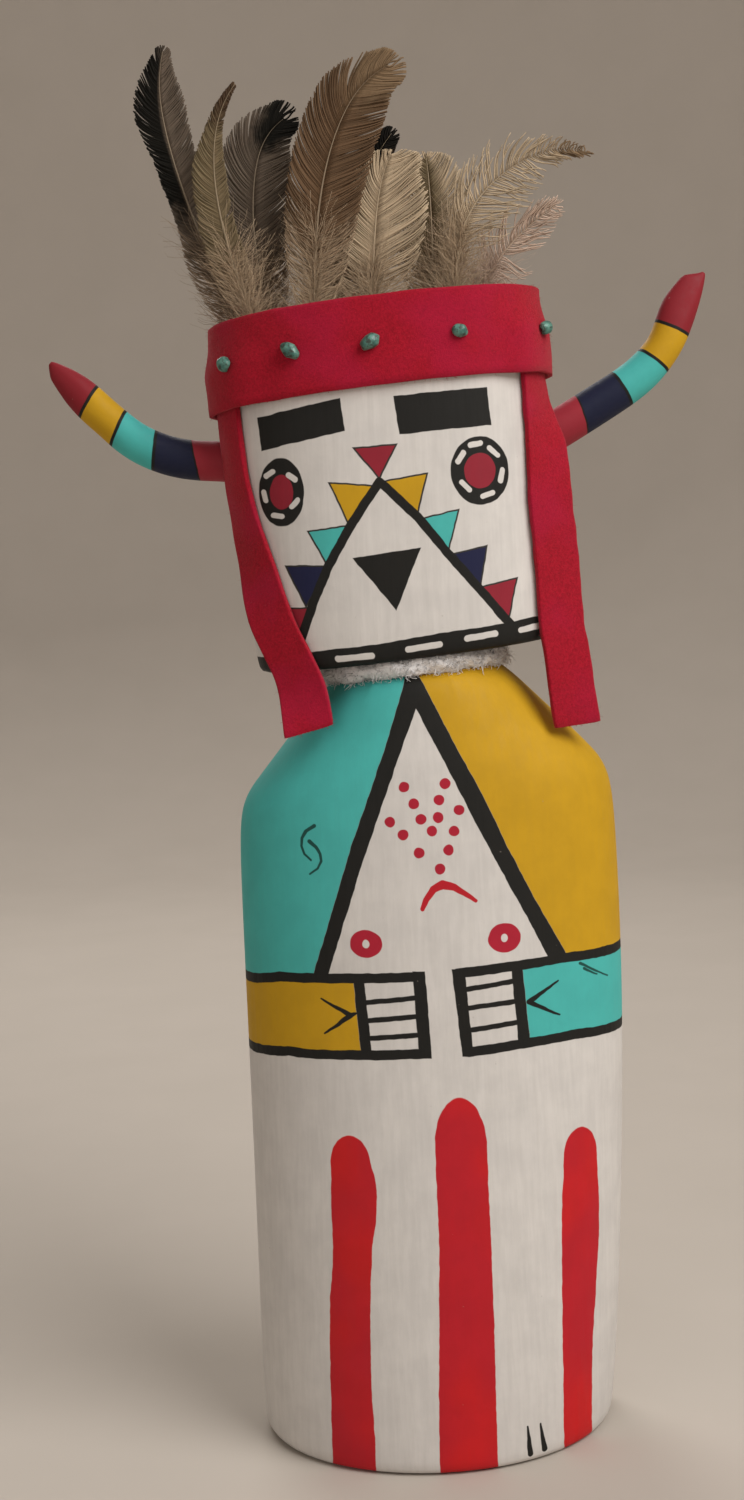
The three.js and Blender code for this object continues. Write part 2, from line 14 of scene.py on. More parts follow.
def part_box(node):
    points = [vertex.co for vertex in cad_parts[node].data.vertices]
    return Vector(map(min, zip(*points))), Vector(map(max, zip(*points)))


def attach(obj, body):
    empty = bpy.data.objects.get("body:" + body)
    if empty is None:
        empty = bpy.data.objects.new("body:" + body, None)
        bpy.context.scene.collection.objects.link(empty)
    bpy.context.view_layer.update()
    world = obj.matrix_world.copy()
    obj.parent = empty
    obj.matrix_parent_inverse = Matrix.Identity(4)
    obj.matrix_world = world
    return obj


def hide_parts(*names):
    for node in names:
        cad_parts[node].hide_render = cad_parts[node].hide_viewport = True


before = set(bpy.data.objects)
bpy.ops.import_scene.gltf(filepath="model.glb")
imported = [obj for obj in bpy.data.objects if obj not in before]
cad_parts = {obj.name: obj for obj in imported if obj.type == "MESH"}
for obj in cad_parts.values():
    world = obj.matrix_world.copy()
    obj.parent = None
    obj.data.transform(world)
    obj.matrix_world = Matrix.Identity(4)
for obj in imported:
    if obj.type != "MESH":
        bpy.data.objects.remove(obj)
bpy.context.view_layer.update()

MM = 0.001
WIDEST_Y = 14.5  # the plane where the carved log is widest
HEAD_TOP = 288.0
CHIN = 205.0
HEAD_TILT = 0.0805  # how much the chin rises for each millimetre to the right
CHIN_DEEPER = 1.0  # how far the carved chin's edge reaches below the CAD one
CHIN_GROWS, CHIN_FADES = (-3.0, -0.5), (0.0, 8.0)  # heights over the chin for that
HEAD_PAINT_LOW = 2.5  # how far below the chin the head's paint goes
FINE_LEVELS = 2  # subdivisions of the CAD solids
SHARP = math.radians(50)

# Camera
PHOTO_WIDTH, PHOTO_HEIGHT = 744, 1500
SENSOR_MM = 36.0
LENS_MM = 48.0
CAMERA_PLACE = (-37.35, -502.3, 232.2)
CAMERA_TURN, CAMERA_DOWN, CAMERA_ROLL = -3.0, 5.8, -2.5  # degrees


def camera_axes():
    """Right, up and forward of the camera as unit vectors."""
    turn, down, roll = (math.radians(a) for a in (CAMERA_TURN, CAMERA_DOWN, CAMERA_ROLL))
    forward = Vector((
        -math.sin(turn) * math.cos(down), math.cos(turn) * math.cos(down), -math.sin(down)))
    level = Vector((math.cos(turn), math.sin(turn), 0))
    top = level.cross(forward)
    right = level * math.cos(roll) + top * math.sin(roll)
    return right, top * math.cos(roll) - level * math.sin(roll), forward


RIGHT, UP, FORWARD = camera_axes()
EYE = Vector(CAMERA_PLACE)
PIXELS_PER_UNIT = LENS_MM / SENSOR_MM * PHOTO_HEIGHT


def linked(name, data):
    piece = bpy.data.objects.new(name, data)
    bpy.context.collection.objects.link(piece)
    return piece


def add_camera():
    data = bpy.data.cameras.new("camera")
    data.sensor_width = SENSOR_MM
    data.lens = LENS_MM
    data.clip_start = 0.01
    camera = linked("camera", data)
    axes = Matrix((RIGHT, UP, -FORWARD)).transposed().to_4x4()
    camera.matrix_world = Matrix.Translation(EYE * MM) @ axes
    bpy.context.scene.camera = camera


def pixel_ray(pixel):
    across = (pixel[0] - PHOTO_WIDTH / 2) / PIXELS_PER_UNIT
    down = (pixel[1] - PHOTO_HEIGHT / 2) / PIXELS_PER_UNIT
    return (FORWARD + RIGHT * across - UP * down).normalized()


def on_plane(pixel, y):
    """Where a photograph pixel meets an upright plane, as (x, z)."""
    ray = pixel_ray(pixel)
    spot = EYE + ray * ((y - EYE.y) / ray.y)
    return spot.x, spot.z


# Small helpers
def smooth(low, high, value):
    t = np.clip((value - low) / (high - low), 0, 1)
    return t * t * (3 - 2 * t)


def profile(pairs):
    """A smooth curve through (position, value) pairs that never overshoots them."""
    x, y = np.array(pairs, float).T
    slope = np.diff(y) / np.diff(x)
    inner = [2 * a * b / (a + b) if a * b > 0 else 0 for a, b in zip(slope, slope[1:])]
    tangent = np.array([slope[0], *inner, slope[-1]])

    def curve(at):
        at = np.clip(at, x[0], x[-1])
        i = np.clip(np.searchsorted(x, at) - 1, 0, len(x) - 2)
        span = x[i + 1] - x[i]
        t = (at - x[i]) / span
        low = y[i] * (1 - t) ** 2 * (1 + 2 * t) + tangent[i] * span * t * (1 - t) ** 2
        return low + y[i + 1] * t**2 * (3 - 2 * t) - tangent[i + 1] * span * t**2 * (1 - t)

    return curve


def spread(values, start=0.0):
    """A smooth curve through values spaced evenly from start to 1."""
    return profile([(start + (1 - start) * i / (len(values) - 1), v) for i, v in enumerate(values)])


def add_mesh(name, points, faces):
    """A smooth object from points in millimetres."""
    mesh = bpy.data.meshes.new(name)
    mesh.from_pydata((points * MM).tolist(), [], faces)
    mesh.validate()
    mesh.shade_smooth()
    return linked(name, mesh)


def refined(name, node, merge=0.02, crease=0.0):
    """A smooth piece over a faceted CAD node: its triangles paired into quads and subdivided.
    Sharp edges are kept as crisp as crease says, from 0 to 1."""
    work = bmesh.new()
    work.from_mesh(bpy.data.objects[node].data)
    bmesh.ops.remove_doubles(work, verts=work.verts, dist=merge * MM)
    bmesh.ops.join_triangles(
        work, faces=work.faces, angle_face_threshold=SHARP,
        angle_shape_threshold=math.radians(60))
    layer = work.edges.layers.float.new("crease_edge")
    for edge in work.edges:
        if edge.calc_face_angle(0) > SHARP:
            edge[layer] = crease
    mesh = bpy.data.meshes.new(name)
    work.to_mesh(mesh)
    work.free()
    piece = linked(name, mesh)
    modifier = piece.modifiers.new("fine", "SUBSURF")
    modifier.levels = modifier.render_levels = FINE_LEVELS
    shaped = piece.evaluated_get(bpy.context.evaluated_depsgraph_get())
    mesh = bpy.data.meshes.new_from_object(shaped)
    piece.modifiers.clear()
    piece.data = mesh
    piece.data.shade_smooth()
    return piece


def vectors_of(items, what):
    flat = np.empty(len(items) * 3, np.float32)
    items.foreach_get(what, flat)
    return flat.reshape(-1, 3).astype(float)


def points_of(piece):
    """The piece's vertices in millimetres."""
    return vectors_of(piece.data.vertices, "co") / MM


def move_points(piece, points):
    piece.data.vertices.foreach_set("co", (points * MM).ravel())
    piece.data.update()


def normals_of(piece):
    return vectors_of(piece.data.vertices, "normal")


def finished(piece, material, slot, *nodes):
    """Gives a piece its material, hangs it on the root and hides the CAD nodes it takes the place of."""
    piece.data.materials.clear()
    piece.data.materials.append(material)
    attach(piece, "root")
    if nodes:
        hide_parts(*nodes)
    return piece


def ring_faces(first, rings, sides):
    """Quads between rings of points that follow one another."""
    return [
        (low + k, low + (k + 1) % sides, low + (k + 1) % sides + sides, low + k + sides)
        for low in range(first, first + (rings - 1) * sides, sides) for k in range(sides)]


class Strands:
    """Many thin closed tapered strands in one mesh, with a tone for their colour: how far along
    the feather, how far across it, and a shade."""

    SIDES = 3
    THIN_BACK = 0.6  # the back edge's thickness as a share of the front edge's

    def __init__(self):
        self.points, self.faces, self.tones = [], [], []
        self.count = 0

    def add(self, spine, wide, flat, radius, thin, tones):
        """spine has n points, wide and flat are unit vectors across it, one or one for each point,
        and radius, thin and tones have a value for each point."""
        n = len(spine)
        rings = np.stack([
            spine + wide * radius[:, None],
            spine - flat * thin[:, None],
            spine - wide * radius[:, None] + flat * thin[:, None] * self.THIN_BACK,
        ], axis=1)
        self.points.append(rings.reshape(-1, 3))
        self.tones.append(np.repeat(tones, self.SIDES, axis=0))
        start = self.count
        self.count += n * self.SIDES
        end = self.count - self.SIDES
        self.faces += ring_faces(start, n, self.SIDES)
        self.faces += [(start + 2, start + 1, start), (end, end + 1, end + 2)]

    def build(self, name):
        piece = add_mesh(name, np.concatenate(self.points), self.faces)
        tones = np.concatenate(self.tones).astype(np.float32)
        layer = piece.data.attributes.new("tone", "FLOAT_VECTOR", "POINT")
        layer.data.foreach_set("vector", tones.ravel())
        return piece


def unit(vectors):
    return vectors / np.maximum(np.linalg.norm(vectors, axis=-1, keepdims=True), 1e-9)


def fuzz(name, piece, count, length, radius, seed):
    """Short curly fibres standing on a piece's surface."""
    random = np.random.default_rng(seed)
    points, normals = points_of(piece), normals_of(piece)
    strands = Strands()
    steps = np.linspace(0, 1, 4)[:, None]
    for i in random.integers(0, len(points), count):
        lean = unit(normals[i] + random.normal(0, 0.7, 3))
        curl = unit(random.normal(0, 1, 3))
        reach = length * random.uniform(0.4, 1.2)
        root = points[i] + random.normal(0, 0.15, 3) - normals[i] * 0.12
        spine = root + lean * reach * steps + curl * reach * 0.35 * np.sin(steps * 4)
        side = unit(np.cross(lean, curl))
        taper = radius * (1 - 0.6 * steps[:, 0])
        tone = np.tile([random.random(), 0.5, 0.5], (4, 1))
        strands.add(spine, side, unit(np.cross(side, lean)), taper, taper, tone)
    return strands.build(name)


# Material helpers
class Finish:
    """Builds one material's nodes. Values may be numbers, tuples or node outputs."""

    def __init__(self, name, values):
        self.material = bpy.data.materials.new(name)
        self.material.use_nodes = True
        self.tree = self.material.node_tree
        self.surface = self.tree.nodes["Principled BSDF"]
        for key, value in values.items():
            self.surface.inputs[key].default_value = value
        place = self.make("ShaderNodeTexCoord").outputs["Object"]
        self.place = self.vector("MULTIPLY", place, (1000, 1000, 1000))

    def make(self, kind, values=(), **settings):
        """A node with its settings and the values of its first inputs."""
        node = self.tree.nodes.new(kind)
        for key, value in settings.items():
            setattr(node, key, value)
        for socket, value in zip(node.inputs, values):
            self.put(socket, value)
        return node

    def put(self, socket, value):
        if isinstance(value, bpy.types.NodeSocket):
            self.tree.links.new(value, socket)
        elif value is not None:
            socket.default_value = value

    def math(self, operation, a, b=None, c=None, clamp=False):
        values = (a, b, c)
        return self.make("ShaderNodeMath", values, operation=operation, use_clamp=clamp).outputs[0]

    def minus(self, a, b):
        return self.math("SUBTRACT", a, b)

    def times(self, a, b):
        return self.math("MULTIPLY", a, b)

    def vector(self, operation, a, b=None, scale=None):
        node = self.make("ShaderNodeVectorMath", (a, b, None, scale), operation=operation)
        single = operation in ("DOT_PRODUCT", "LENGTH", "DISTANCE")
        return node.outputs["Value" if single else "Vector"]

    def split(self, vector):
        return self.make("ShaderNodeSeparateXYZ", [vector]).outputs

    def join(self, x, y, z):
        return self.make("ShaderNodeCombineXYZ", (x, y, z)).outputs[0]

    def noise(self, scale, detail=2.0, rough=0.5, stretch=(1, 1, 1), colour=False):
        """Noise with scale in features for each millimetre."""
        spot = self.vector("MULTIPLY", self.place, stretch)
        node = self.make("ShaderNodeTexNoise", (spot, None, scale, detail, rough))
        return node.outputs["Color" if colour else "Fac"]

    def fade(self, value, low, high, start=0.0, end=1.0):
        values = (value, low, high, start, end)
        return self.make("ShaderNodeMapRange", values, interpolation_type="SMOOTHSTEP").outputs[0]

    def mix(self, share, a, b, blend="MIX"):
        node = self.make("ShaderNodeMix", data_type="RGBA", blend_type=blend)
        self.put(node.inputs[0], share)
        self.put(node.inputs[6], (*a, 1) if isinstance(a, tuple) else a)
        self.put(node.inputs[7], (*b, 1) if isinstance(b, tuple) else b)
        return node.outputs[2]

    def bump(self, height, depth, strength=1.0):
        """Bump of a given depth in millimetres."""
        node = self.make("ShaderNodeBump")
        self.put(node.inputs["Height"], height)
        self.put(node.inputs["Distance"], depth * MM)
        self.put(node.inputs["Strength"], strength)
        self.put(self.surface.inputs["Normal"], node.outputs[0])

    def colour(self, value):
        self.put(self.surface.inputs["Base Color"], value)

    def rough(self, value):
        self.put(self.surface.inputs["Roughness"], value)


class Painter(Finish):
    """Shapes painted on a surface that is seen from the front, in (x, z) millimetres."""

    def __init__(self, name, wobble, wood=None):
        super().__init__(name, {"Specular IOR Level": PAINT_SPECULAR})
        x, self.depth, z = self.split(self.place)
        shake = self.vector("SUBTRACT", self.noise(0.35, 1.0, colour=True), (0.5, 0.5, 0.5))
        shake = self.vector("MULTIPLY", shake, (2 * wobble, 2 * wobble, 0))
        self.spot = self.vector("ADD", self.join(x, z, 1), shake)
        self.x, self.z, _ = self.split(self.spot)
        self.wood = wood
        self.within = 1.0
        self.covered = []

    def side(self, a, b, inside):
        """Distance outside the line from a to b, with the point inside on its inner side."""
        normal = np.array([b[1] - a[1], a[0] - b[0]], float)
        normal /= np.linalg.norm(normal)
        if normal @ (np.array(inside) - a) > 0:
            normal = -normal
        return self.vector("DOT_PRODUCT", self.spot, (*normal, -float(normal @ np.array(a))))

    def polygon(self, points):
        middle = np.mean(points, axis=0)
        edges = [self.side(a, b, middle) for a, b in zip(points, [*points[1:], points[0]])]
        return self.both(*edges)

    def combined(self, operation, values):
        total = values[0]
        for value in values[1:]:
            total = self.math(operation, total, value)
        return total

    def both(self, *distances):
        return self.combined("MAXIMUM", distances)

    def either(self, *distances):
        return self.combined("MINIMUM", distances)

    def without(self, distance, hole):
        return self.both(distance, self.times(hole, -1))

    def oval(self, centre, radii):
        """Distance outside an upright oval."""
        shifted = self.vector("SUBTRACT", self.spot, (float(centre[0]), float(centre[1]), 1))
        reach = self.vector("MULTIPLY", shifted, (1 / radii[0], 1 / radii[1], 0))
        reach = self.vector("LENGTH", reach)
        return self.math("MULTIPLY_ADD", reach, min(radii), -min(radii))

    def stroke(self, a, b, wide, wide_end=None):
        """Distance outside a round-ended brush stroke."""
        wide_end = wide if wide_end is None else wide_end
        run = np.array(b, float) - a
        scale = 1 / float(run @ run)
        share = self.vector(
            "DOT_PRODUCT", self.spot, (*(run * scale), -float(run @ np.array(a)) * scale))
        share = self.math("ADD", share, 0, clamp=True)
        nearest = self.vector("SCALE", (*run, 0), scale=share)
        offset = self.vector("SUBTRACT", self.spot, nearest)
        reach = self.vector("DISTANCE", offset, (*a, 1))
        half = self.math("MULTIPLY_ADD", share, (wide_end - wide) / 2, wide / 2)
        return self.math("SUBTRACT", reach, half)

    def line(self, points, wide, wide_end=None):
        """A stroke through several points."""
        wide_end = wide if wide_end is None else wide_end
        widths = np.linspace(wide, wide_end, len(points))
        return self.either(*(
            self.stroke(a, b, float(u), float(v))
            for a, b, u, v in zip(points, points[1:], widths, widths[1:])
        ))

    def pixel_strokes(self, pairs, *widths):
        widths = [wide * PIXEL for wide in widths]
        return [self.stroke(*self.wood.all(pair), *widths) for pair in pairs]

    def pixel_line(self, pixels, *widths):
        return self.line(self.wood.all(pixels), *(wide * PIXEL for wide in widths))

    def pixel_polygon(self, pixels):
        return self.polygon(self.wood.all(pixels))

    def pixel_oval(self, centre, radii):
        return self.oval(self.wood.at(centre), [radius * PIXEL for radius in radii])

    def curve_of(self, value, points, handle="AUTO"):
        """A function of a value through (value, result) points, straight with VECTOR handles."""
        points = sorted(points)
        lows = np.min(points, axis=0) - 1
        spans = np.max(points, axis=0) + 1 - lows
        node = self.make("ShaderNodeFloatCurve")
        line = node.mapping.curves[0]
        shares = [(np.array(p) - lows) / spans for p in points]
        line.points[0].location = (0, shares[0][1])
        line.points[1].location = (1, shares[-1][1])
        for share in shares:
            line.points.new(*share)
        for point in line.points:
            point.handle_type = handle
        node.mapping.update()
        self.put(node.inputs[1], self.math("DIVIDE", self.minus(value, lows[0]), spans[0]))
        return self.math("MULTIPLY_ADD", node.outputs[0], float(spans[1]), float(lows[1]))

    def over(self, under, distance, colour, grow=0.0):
        """Paints a colour over what is there, and keeps its edge for the bump."""
        mask = self.fade(distance, grow - PAINT_EDGE, grow + PAINT_EDGE, 1.0, 0.0)
        mask = self.times(mask, self.within)
        self.covered.append(mask)
        return self.mix(mask, under, colour)

    def paint_relief(self):
        """How thick the paint lies: one coat for each shape painted here."""
        return self.combined("ADD", self.covered)


# Paint
PIXEL = 0.2475  # millimetres for each pixel of a painted width
PAINT_EDGE = 0.1  # half of the soft rim round a painted shape
PAINT_WOBBLE, HORN_WOBBLE = 0.22, 0.12  # how far an edge wanders
PAINT_SPECULAR = 0.22
PAINT_BUMP = 0.035
OUTLINE_OUT, OUTLINE_IN = 0.12, 0.3  # a small triangle's outline, past its edge and within it

# Paint colours, linear
WHITE = (0.655, 0.627, 0.60)
BLACK = (0.011, 0.0105, 0.009)
TURQUOISE = (0.068, 0.45, 0.42)
YELLOW = (0.54, 0.305, 0.009)
RED = (0.48, 0.012, 0.022)
WARM_RED = (0.60, 0.012, 0.011)
CHEST_RED = (0.41, 0.014, 0.034)
CRIMSON = (0.27, 0.016, 0.031)
MAROON = (0.24, 0.014, 0.022)
NAVY = (0.011, 0.013, 0.05)
OUTLINE = (0.03, 0.028, 0.025)
DARK_TEAL = (0.012, 0.07, 0.06)
GRIME = (0.33, 0.29, 0.25)
SHADED_WHITE = (0.627, 0.60, 0.573)
GRAIN = (0.58, 0.54, 0.49)
SMUDGE = (0.54, 0.51, 0.485)
HORN_NAVY = (0.010, 0.013, 0.038)
HORN_ROOT = (0.33, 0.025, 0.04)

# Face, in photograph pixels
PIXEL_BROWS = [
    [(257, 418), (340, 398), (345, 431), (261.5, 451)],
    [(393.5, 396), (487, 387), (491.5, 425), (399, 434.5)],
]
PIXEL_EYES = [
    {"centre": (281.5, 492.3), "black": (22.6, 34.4), "red": (11.6, 17.5), "long": 13.5,
     "dashes": [(269.4, 474), (291.7, 477.3), (294.7, 503.5), (277.8, 516), (264.8, 496.3)]},
    {"centre": (479.8, 470.5), "black": (29.1, 34.4), "red": (15.8, 17.6), "long": 16,
     "dashes": [(475.2, 444.1), (493.5, 451.7), (501.5, 475.2), (487.8, 494.4), (465.5, 486),
                (460.6, 457)]},
]
PIXEL_DASH_WIDE = 5.4
PIXEL_FACE_TRIANGLES = [
    (CRIMSON, [[(352.5, 447.9), (396.7, 443.7), (379.5, 479)],
        [(286.8, 607.8), (309, 607.8), (303, 637)],
        [(480, 587), (517.3, 577.3), (509, 620)]]),
    (YELLOW, [[(328.5, 482.6), (377, 485.3), (350, 527.5)],
        [(383, 481), (427.4, 473.1), (417.5, 516)]]),
    (TURQUOISE, [[(307.4, 531), (351, 525), (329.5, 569.5)],
        [(419, 519), (459, 508.9), (449, 551)]]),
    (NAVY, [[(285.3, 565.7), (328, 565.7), (306, 608)],
        [(450, 554.5), (487.2, 545), (480.5, 589)]]),
]
PIXEL_MASK_SIDES = [
    [(379.4, 481.5), (353, 521.5), (328.5, 565.7), (313.8, 601.5), (303, 634), (295, 658)],
    [(379.4, 481.5), (418, 517.3), (447.8, 553), (476.7, 585.7), (505, 618), (511, 624)],
]
PIXEL_MASK_LINE = 9
PIXEL_MOUTH = [(352.5, 558), (421, 547.5), (396.5, 610.5)]
PIXEL_CHIN_LINE = [(262, 657), (310.5, 652), (385, 643), (444, 632.5), (500, 624), (544, 615), (560, 612)]
PIXEL_CHIN_DASHES = [((338, 659), (372, 656)), ((408, 649.5), (440, 644.5)),
                     ((467.5, 638.5), (495, 633.5)), ((521, 630), (539, 625.5))]
PIXEL_CHIN_DASH_WIDE = 6.2

# Chest and arms
PIXEL_CHEST_OUTER = [
    [(412, 655), (404, 682), (387.2, 741), (350.7, 847.7), (314.2, 971.2), (310, 985)],
    [(409, 655), (420.9, 679.3), (454.5, 743.8), (484, 797), (507.9, 847.7), (534.5, 898.2),
     (565.4, 951.5), (577, 972)],
]
PIXEL_CHEST_INNER = [
    [(433, 657), (416, 708.8), (398.4, 757.9), (361.9, 864.5), (328.2, 974), (325, 985)],
    [(389, 657), (416, 708.8), (443.5, 760.7), (474.2, 819.6), (499.4, 867.3), (527.5, 917.9),
     (548.6, 958.6), (561, 984)],
]
PIXEL_CHEST_DOTS = [
    (404, 787), (445, 783.5), (413.6, 804), (439, 800), (459, 810), (390, 822),
    (421, 819.5), (438, 817.5), (403, 835), (432, 831), (454, 831), (419, 853),
    (448.5, 850), (440, 869),
]
PIXEL_DOT = 5.4
PIXEL_CHEVRON = [[(422.5, 909), (426.5, 899.5), (433.5, 889.5), (443, 884.8)],
                 [(443, 884.8), (454.5, 887.5), (465, 893.5), (476, 901)]]
PIXEL_CHEVRON_WIDE = (5, 9, 3.5)  # at its start, middle and end
PIXEL_RINGS = [((366, 944), (16, 14)), ((504.5, 938), (17, 15))]
PIXEL_RING_HOLE = (3.4, 4.4)
PIXEL_MARK = [
    [(314, 826), (306, 831), (302, 838), (301.6, 846), (304.5, 854), (311, 860)],
    [(309.4, 841), (315.5, 847), (320, 854), (321.2, 861), (317.5, 868.5), (310, 874)],
]
PIXEL_MARK_WIDE = (4, 2)
PIXEL_ARM_LINES = [
    [(245.4, 972), (280, 976.5), (314, 978), (356, 978.5), (420, 976.8)],
    [(250.5, 1044), (288, 1051), (314, 1054), (356, 1055), (426, 1053.8)],
    [(457.5, 973.3), (508, 967), (562, 958), (618, 945.5)],
    [(469, 1052), (530, 1042.5), (575.5, 1034), (621, 1021.5)],
]
PIXEL_ARM_LINE_WIDE = 10
PIXEL_BARS = [
    [(353, 979), (364.2, 979), (371.7, 1053), (361, 1053)],
    [(412.4, 971.5), (425, 971.5), (432, 1058.5), (419.4, 1058.5)],
    [(451.7, 969.5), (464.4, 968.5), (474, 1056.5), (462.4, 1057)],
    [(510.7, 963), (521.9, 962), (530.3, 1043), (518.5, 1045)],
]
PIXEL_FINGERS = [
    ((366, 1002.4), (415.5, 998)), ((367.8, 1020.6), (418, 1016.5)),
    ((370.3, 1038.5), (419.5, 1035)), ((467, 989.4), (513, 981.3)),
    ((469, 1008), (515, 1001.3)), ((472, 1030), (516.5, 1022.3)),
]
PIXEL_FINGER_WIDE = 5.3
PIXEL_TRACKS = [
    ((350.7, 1015.5), [(321.2, 998.7), (324.9, 1033.5), (357, 1013.3)]),
    ((529, 1002), [(558.4, 980.4), (559.8, 1014.7)]),
]
PIXEL_TRACK_WIDE = (5.6, 1.8)
PIXEL_SMUDGES = [((580, 963), (607.5, 975.4)), ((584, 968.5), (597, 974))]
PIXEL_SMUDGE_WIDE = (3, 1.5)

# Skirt stripes: how high the round top stands, and the left and right edges below it
PIXEL_STRIPES = [
    {"top": 28, "left": [(330.8, 1163), (331, 1191), (332.6, 1255), (330, 1303), (330.6, 1383),
                         (332.5, 1450)],
     "right": [(370.5, 1163), (376, 1185), (372, 1255), (370.5, 1303), (371, 1370), (375.5, 1450)]},
    {"top": 49, "left": [(435, 1146), (436.5, 1185), (439, 1239), (439, 1319), (440, 1460)],
     "right": [(487, 1146), (488.5, 1185), (491, 1239), (494, 1319), (498, 1460)]},
    {"top": 31, "left": [(563.5, 1156), (562, 1207), (562, 1287), (563, 1351), (564, 1430)],
     "right": [(597, 1156), (599, 1207), (596, 1287), (592.5, 1351), (592, 1415)]},
]
PIXEL_TICKS = [((527.5, 1427), (530.5, 1454)), ((540.5, 1423.5), (544.5, 1449))]
PIXEL_TICK_WIDE = (2, 6.2)
FAR = 90.0  # a reach in millimetres past the sides of the doll
ARMS_END = (19.0, 20.5)  # depths between which the painted arms fade out, behind the sides
FACE_END = (17.5, 20.5)


class Wood:
    """The carved body's smooth surface, and where the photograph's pixels meet it."""

    def __init__(self, piece):
        mesh = piece.data
        points = [v.co / MM for v in mesh.vertices]
        self.tree = BVHTree.FromPolygons(points, [p.vertices[:] for p in mesh.polygons])

    def at(self, pixel):
        hit = self.tree.ray_cast(EYE, pixel_ray(pixel))[0]
        return (hit.x, hit.z) if hit else on_plane(pixel, WIDEST_Y)

    def all(self, pixels):
        return [self.at(p) for p in pixels]


def wood_base(paint):
    """White paint over wood: faint brush marks, grain showing through and a few smudges."""
    grain = paint.noise(1.0, 4, 0.6, stretch=(1.9, 1.9, 0.03))
    brush = paint.noise(1.0, 4, 0.6, stretch=(0.7, 0.7, 0.06))
    patches = paint.noise(0.03, 3, 0.6)
    white = paint.mix(paint.fade(brush, 0.3, 0.75), SHADED_WHITE, WHITE)
    white = paint.mix(paint.fade(grain, 0.56, 0.8, 0, 0.2), white, GRAIN)
    white = paint.mix(paint.fade(patches, 0.5, 0.75, 0, 0.2), white, SMUDGE)
    return white, grain, brush


def finish_wood(paint, colour, grain, brush):
    """Wear, grime and relief that all of the painted wood shares."""
    specks = paint.noise(0.5, 2, 0.7)
    colour = paint.mix(paint.fade(specks, 0.74, 0.82, 0, 0.45), colour, GRIME)
    uneven = paint.noise(0.12, 4, 0.6)
    tint = paint.mix(paint.fade(uneven, 0.3, 0.7), (0.95, 0.95, 0.945), (1.03, 1.03, 1.02))
    colour = paint.mix(1.0, colour, tint, "MULTIPLY")
    streak = paint.mix(paint.fade(brush, 0.3, 0.7), (0.975, 0.975, 0.975), (1.01, 1.01, 1.01))
    colour = paint.mix(1.0, colour, streak, "MULTIPLY")
    paint.colour(colour)
    relief = paint.math("MULTIPLY_ADD", paint.paint_relief(), 0.5, grain)
    relief = paint.math("MULTIPLY_ADD", brush, 0.7, relief)
    relief = paint.math("MULTIPLY_ADD", paint.noise(4.0, 2), 0.12, relief)
    paint.bump(relief, PAINT_BUMP, 0.7)
    paint.rough(paint.fade(brush, 0.2, 0.8, 0.52, 0.72))
    return paint.material


def head_material(wood):
    paint = Painter("painted_head", PAINT_WOBBLE, wood)
    colour, grain, brush = wood_base(paint)
    paint.within = paint.fade(paint.depth, *FACE_END, 1, 0)
    mask_top = wood.at(PIXEL_MASK_SIDES[0][0])[1]
    mask = paint.both(between(paint, PIXEL_MASK_SIDES), paint.minus(paint.z, mask_top))
    for tone, triangles in PIXEL_FACE_TRIANGLES:
        shapes = paint.either(*(paint.pixel_polygon(t) for t in triangles))
        shapes = paint.without(shapes, mask)
        colour = paint.over(colour, shapes, OUTLINE, OUTLINE_OUT)
        colour = paint.over(colour, shapes, tone, -OUTLINE_IN)
    black = [paint.pixel_line(side, PIXEL_MASK_LINE) for side in PIXEL_MASK_SIDES]
    black += [paint.pixel_polygon(shape) for shape in (*PIXEL_BROWS, PIXEL_MOUTH)]
    chin = paint.curve_of(paint.x, wood.all(PIXEL_CHIN_LINE))
    black.append(paint.minus(paint.z, chin))
    black += [paint.oval(*eye_oval(wood, eye, "black")) for eye in PIXEL_EYES]
    colour = paint.over(colour, paint.either(*black), BLACK)
    red = [paint.oval(*eye_oval(wood, eye, "red")) for eye in PIXEL_EYES]
    colour = paint.over(colour, paint.either(*red), CRIMSON)
    dashes = [dash for eye in PIXEL_EYES for dash in eye_dashes(paint, eye)]
    dashes += paint.pixel_strokes(PIXEL_CHIN_DASHES, PIXEL_CHIN_DASH_WIDE)
    colour = paint.over(colour, paint.either(*dashes), WHITE)
    return finish_wood(paint, colour, grain, brush)


def eye_dashes(paint, eye):
    """White dashes round an eye, each across the way to its centre."""
    half = 0.5 * (eye["long"] - PIXEL_DASH_WIDE) * PIXEL
    centre = np.array(paint.wood.at(eye["centre"]))
    for spot in np.array(paint.wood.all(eye["dashes"])):
        out = unit(spot - centre)
        run = np.array([-out[1], out[0]]) * half
        yield paint.stroke(spot - run, spot + run, PIXEL_DASH_WIDE * PIXEL)


def eye_oval(wood, eye, part):
    centre, radii = eye["centre"], eye[part]
    left, right = (wood.at((centre[0] + s * radii[0], centre[1])) for s in (-1, 1))
    low, high = (wood.at((centre[0], centre[1] + s * radii[1])) for s in (1, -1))
    middle = ((left[0] + right[0]) / 2, (low[1] + high[1]) / 2)
    return middle, ((right[0] - left[0]) / 2, (high[1] - low[1]) / 2)


def torso_material(wood):
    paint = Painter("painted_torso", PAINT_WOBBLE, wood)
    colour, grain, brush = wood_base(paint)
    paint.within = paint.fade(paint.depth, *ARMS_END, 1, 0)
    lines = [wood.all(line) for line in PIXEL_ARM_LINES]
    for line in lines[:2]:
        line.insert(0, (-FAR, line[0][1]))
    for line in lines[2:]:
        line.append((FAR, line[-1][1]))
    colour = chest_colours(paint, colour, lines)
    colour = arm_colours(paint, colour, lines)
    colour = red_marks(paint, colour)
    colour = black_marks(paint, colour, lines)
    return finish_wood(paint, colour, grain, brush)


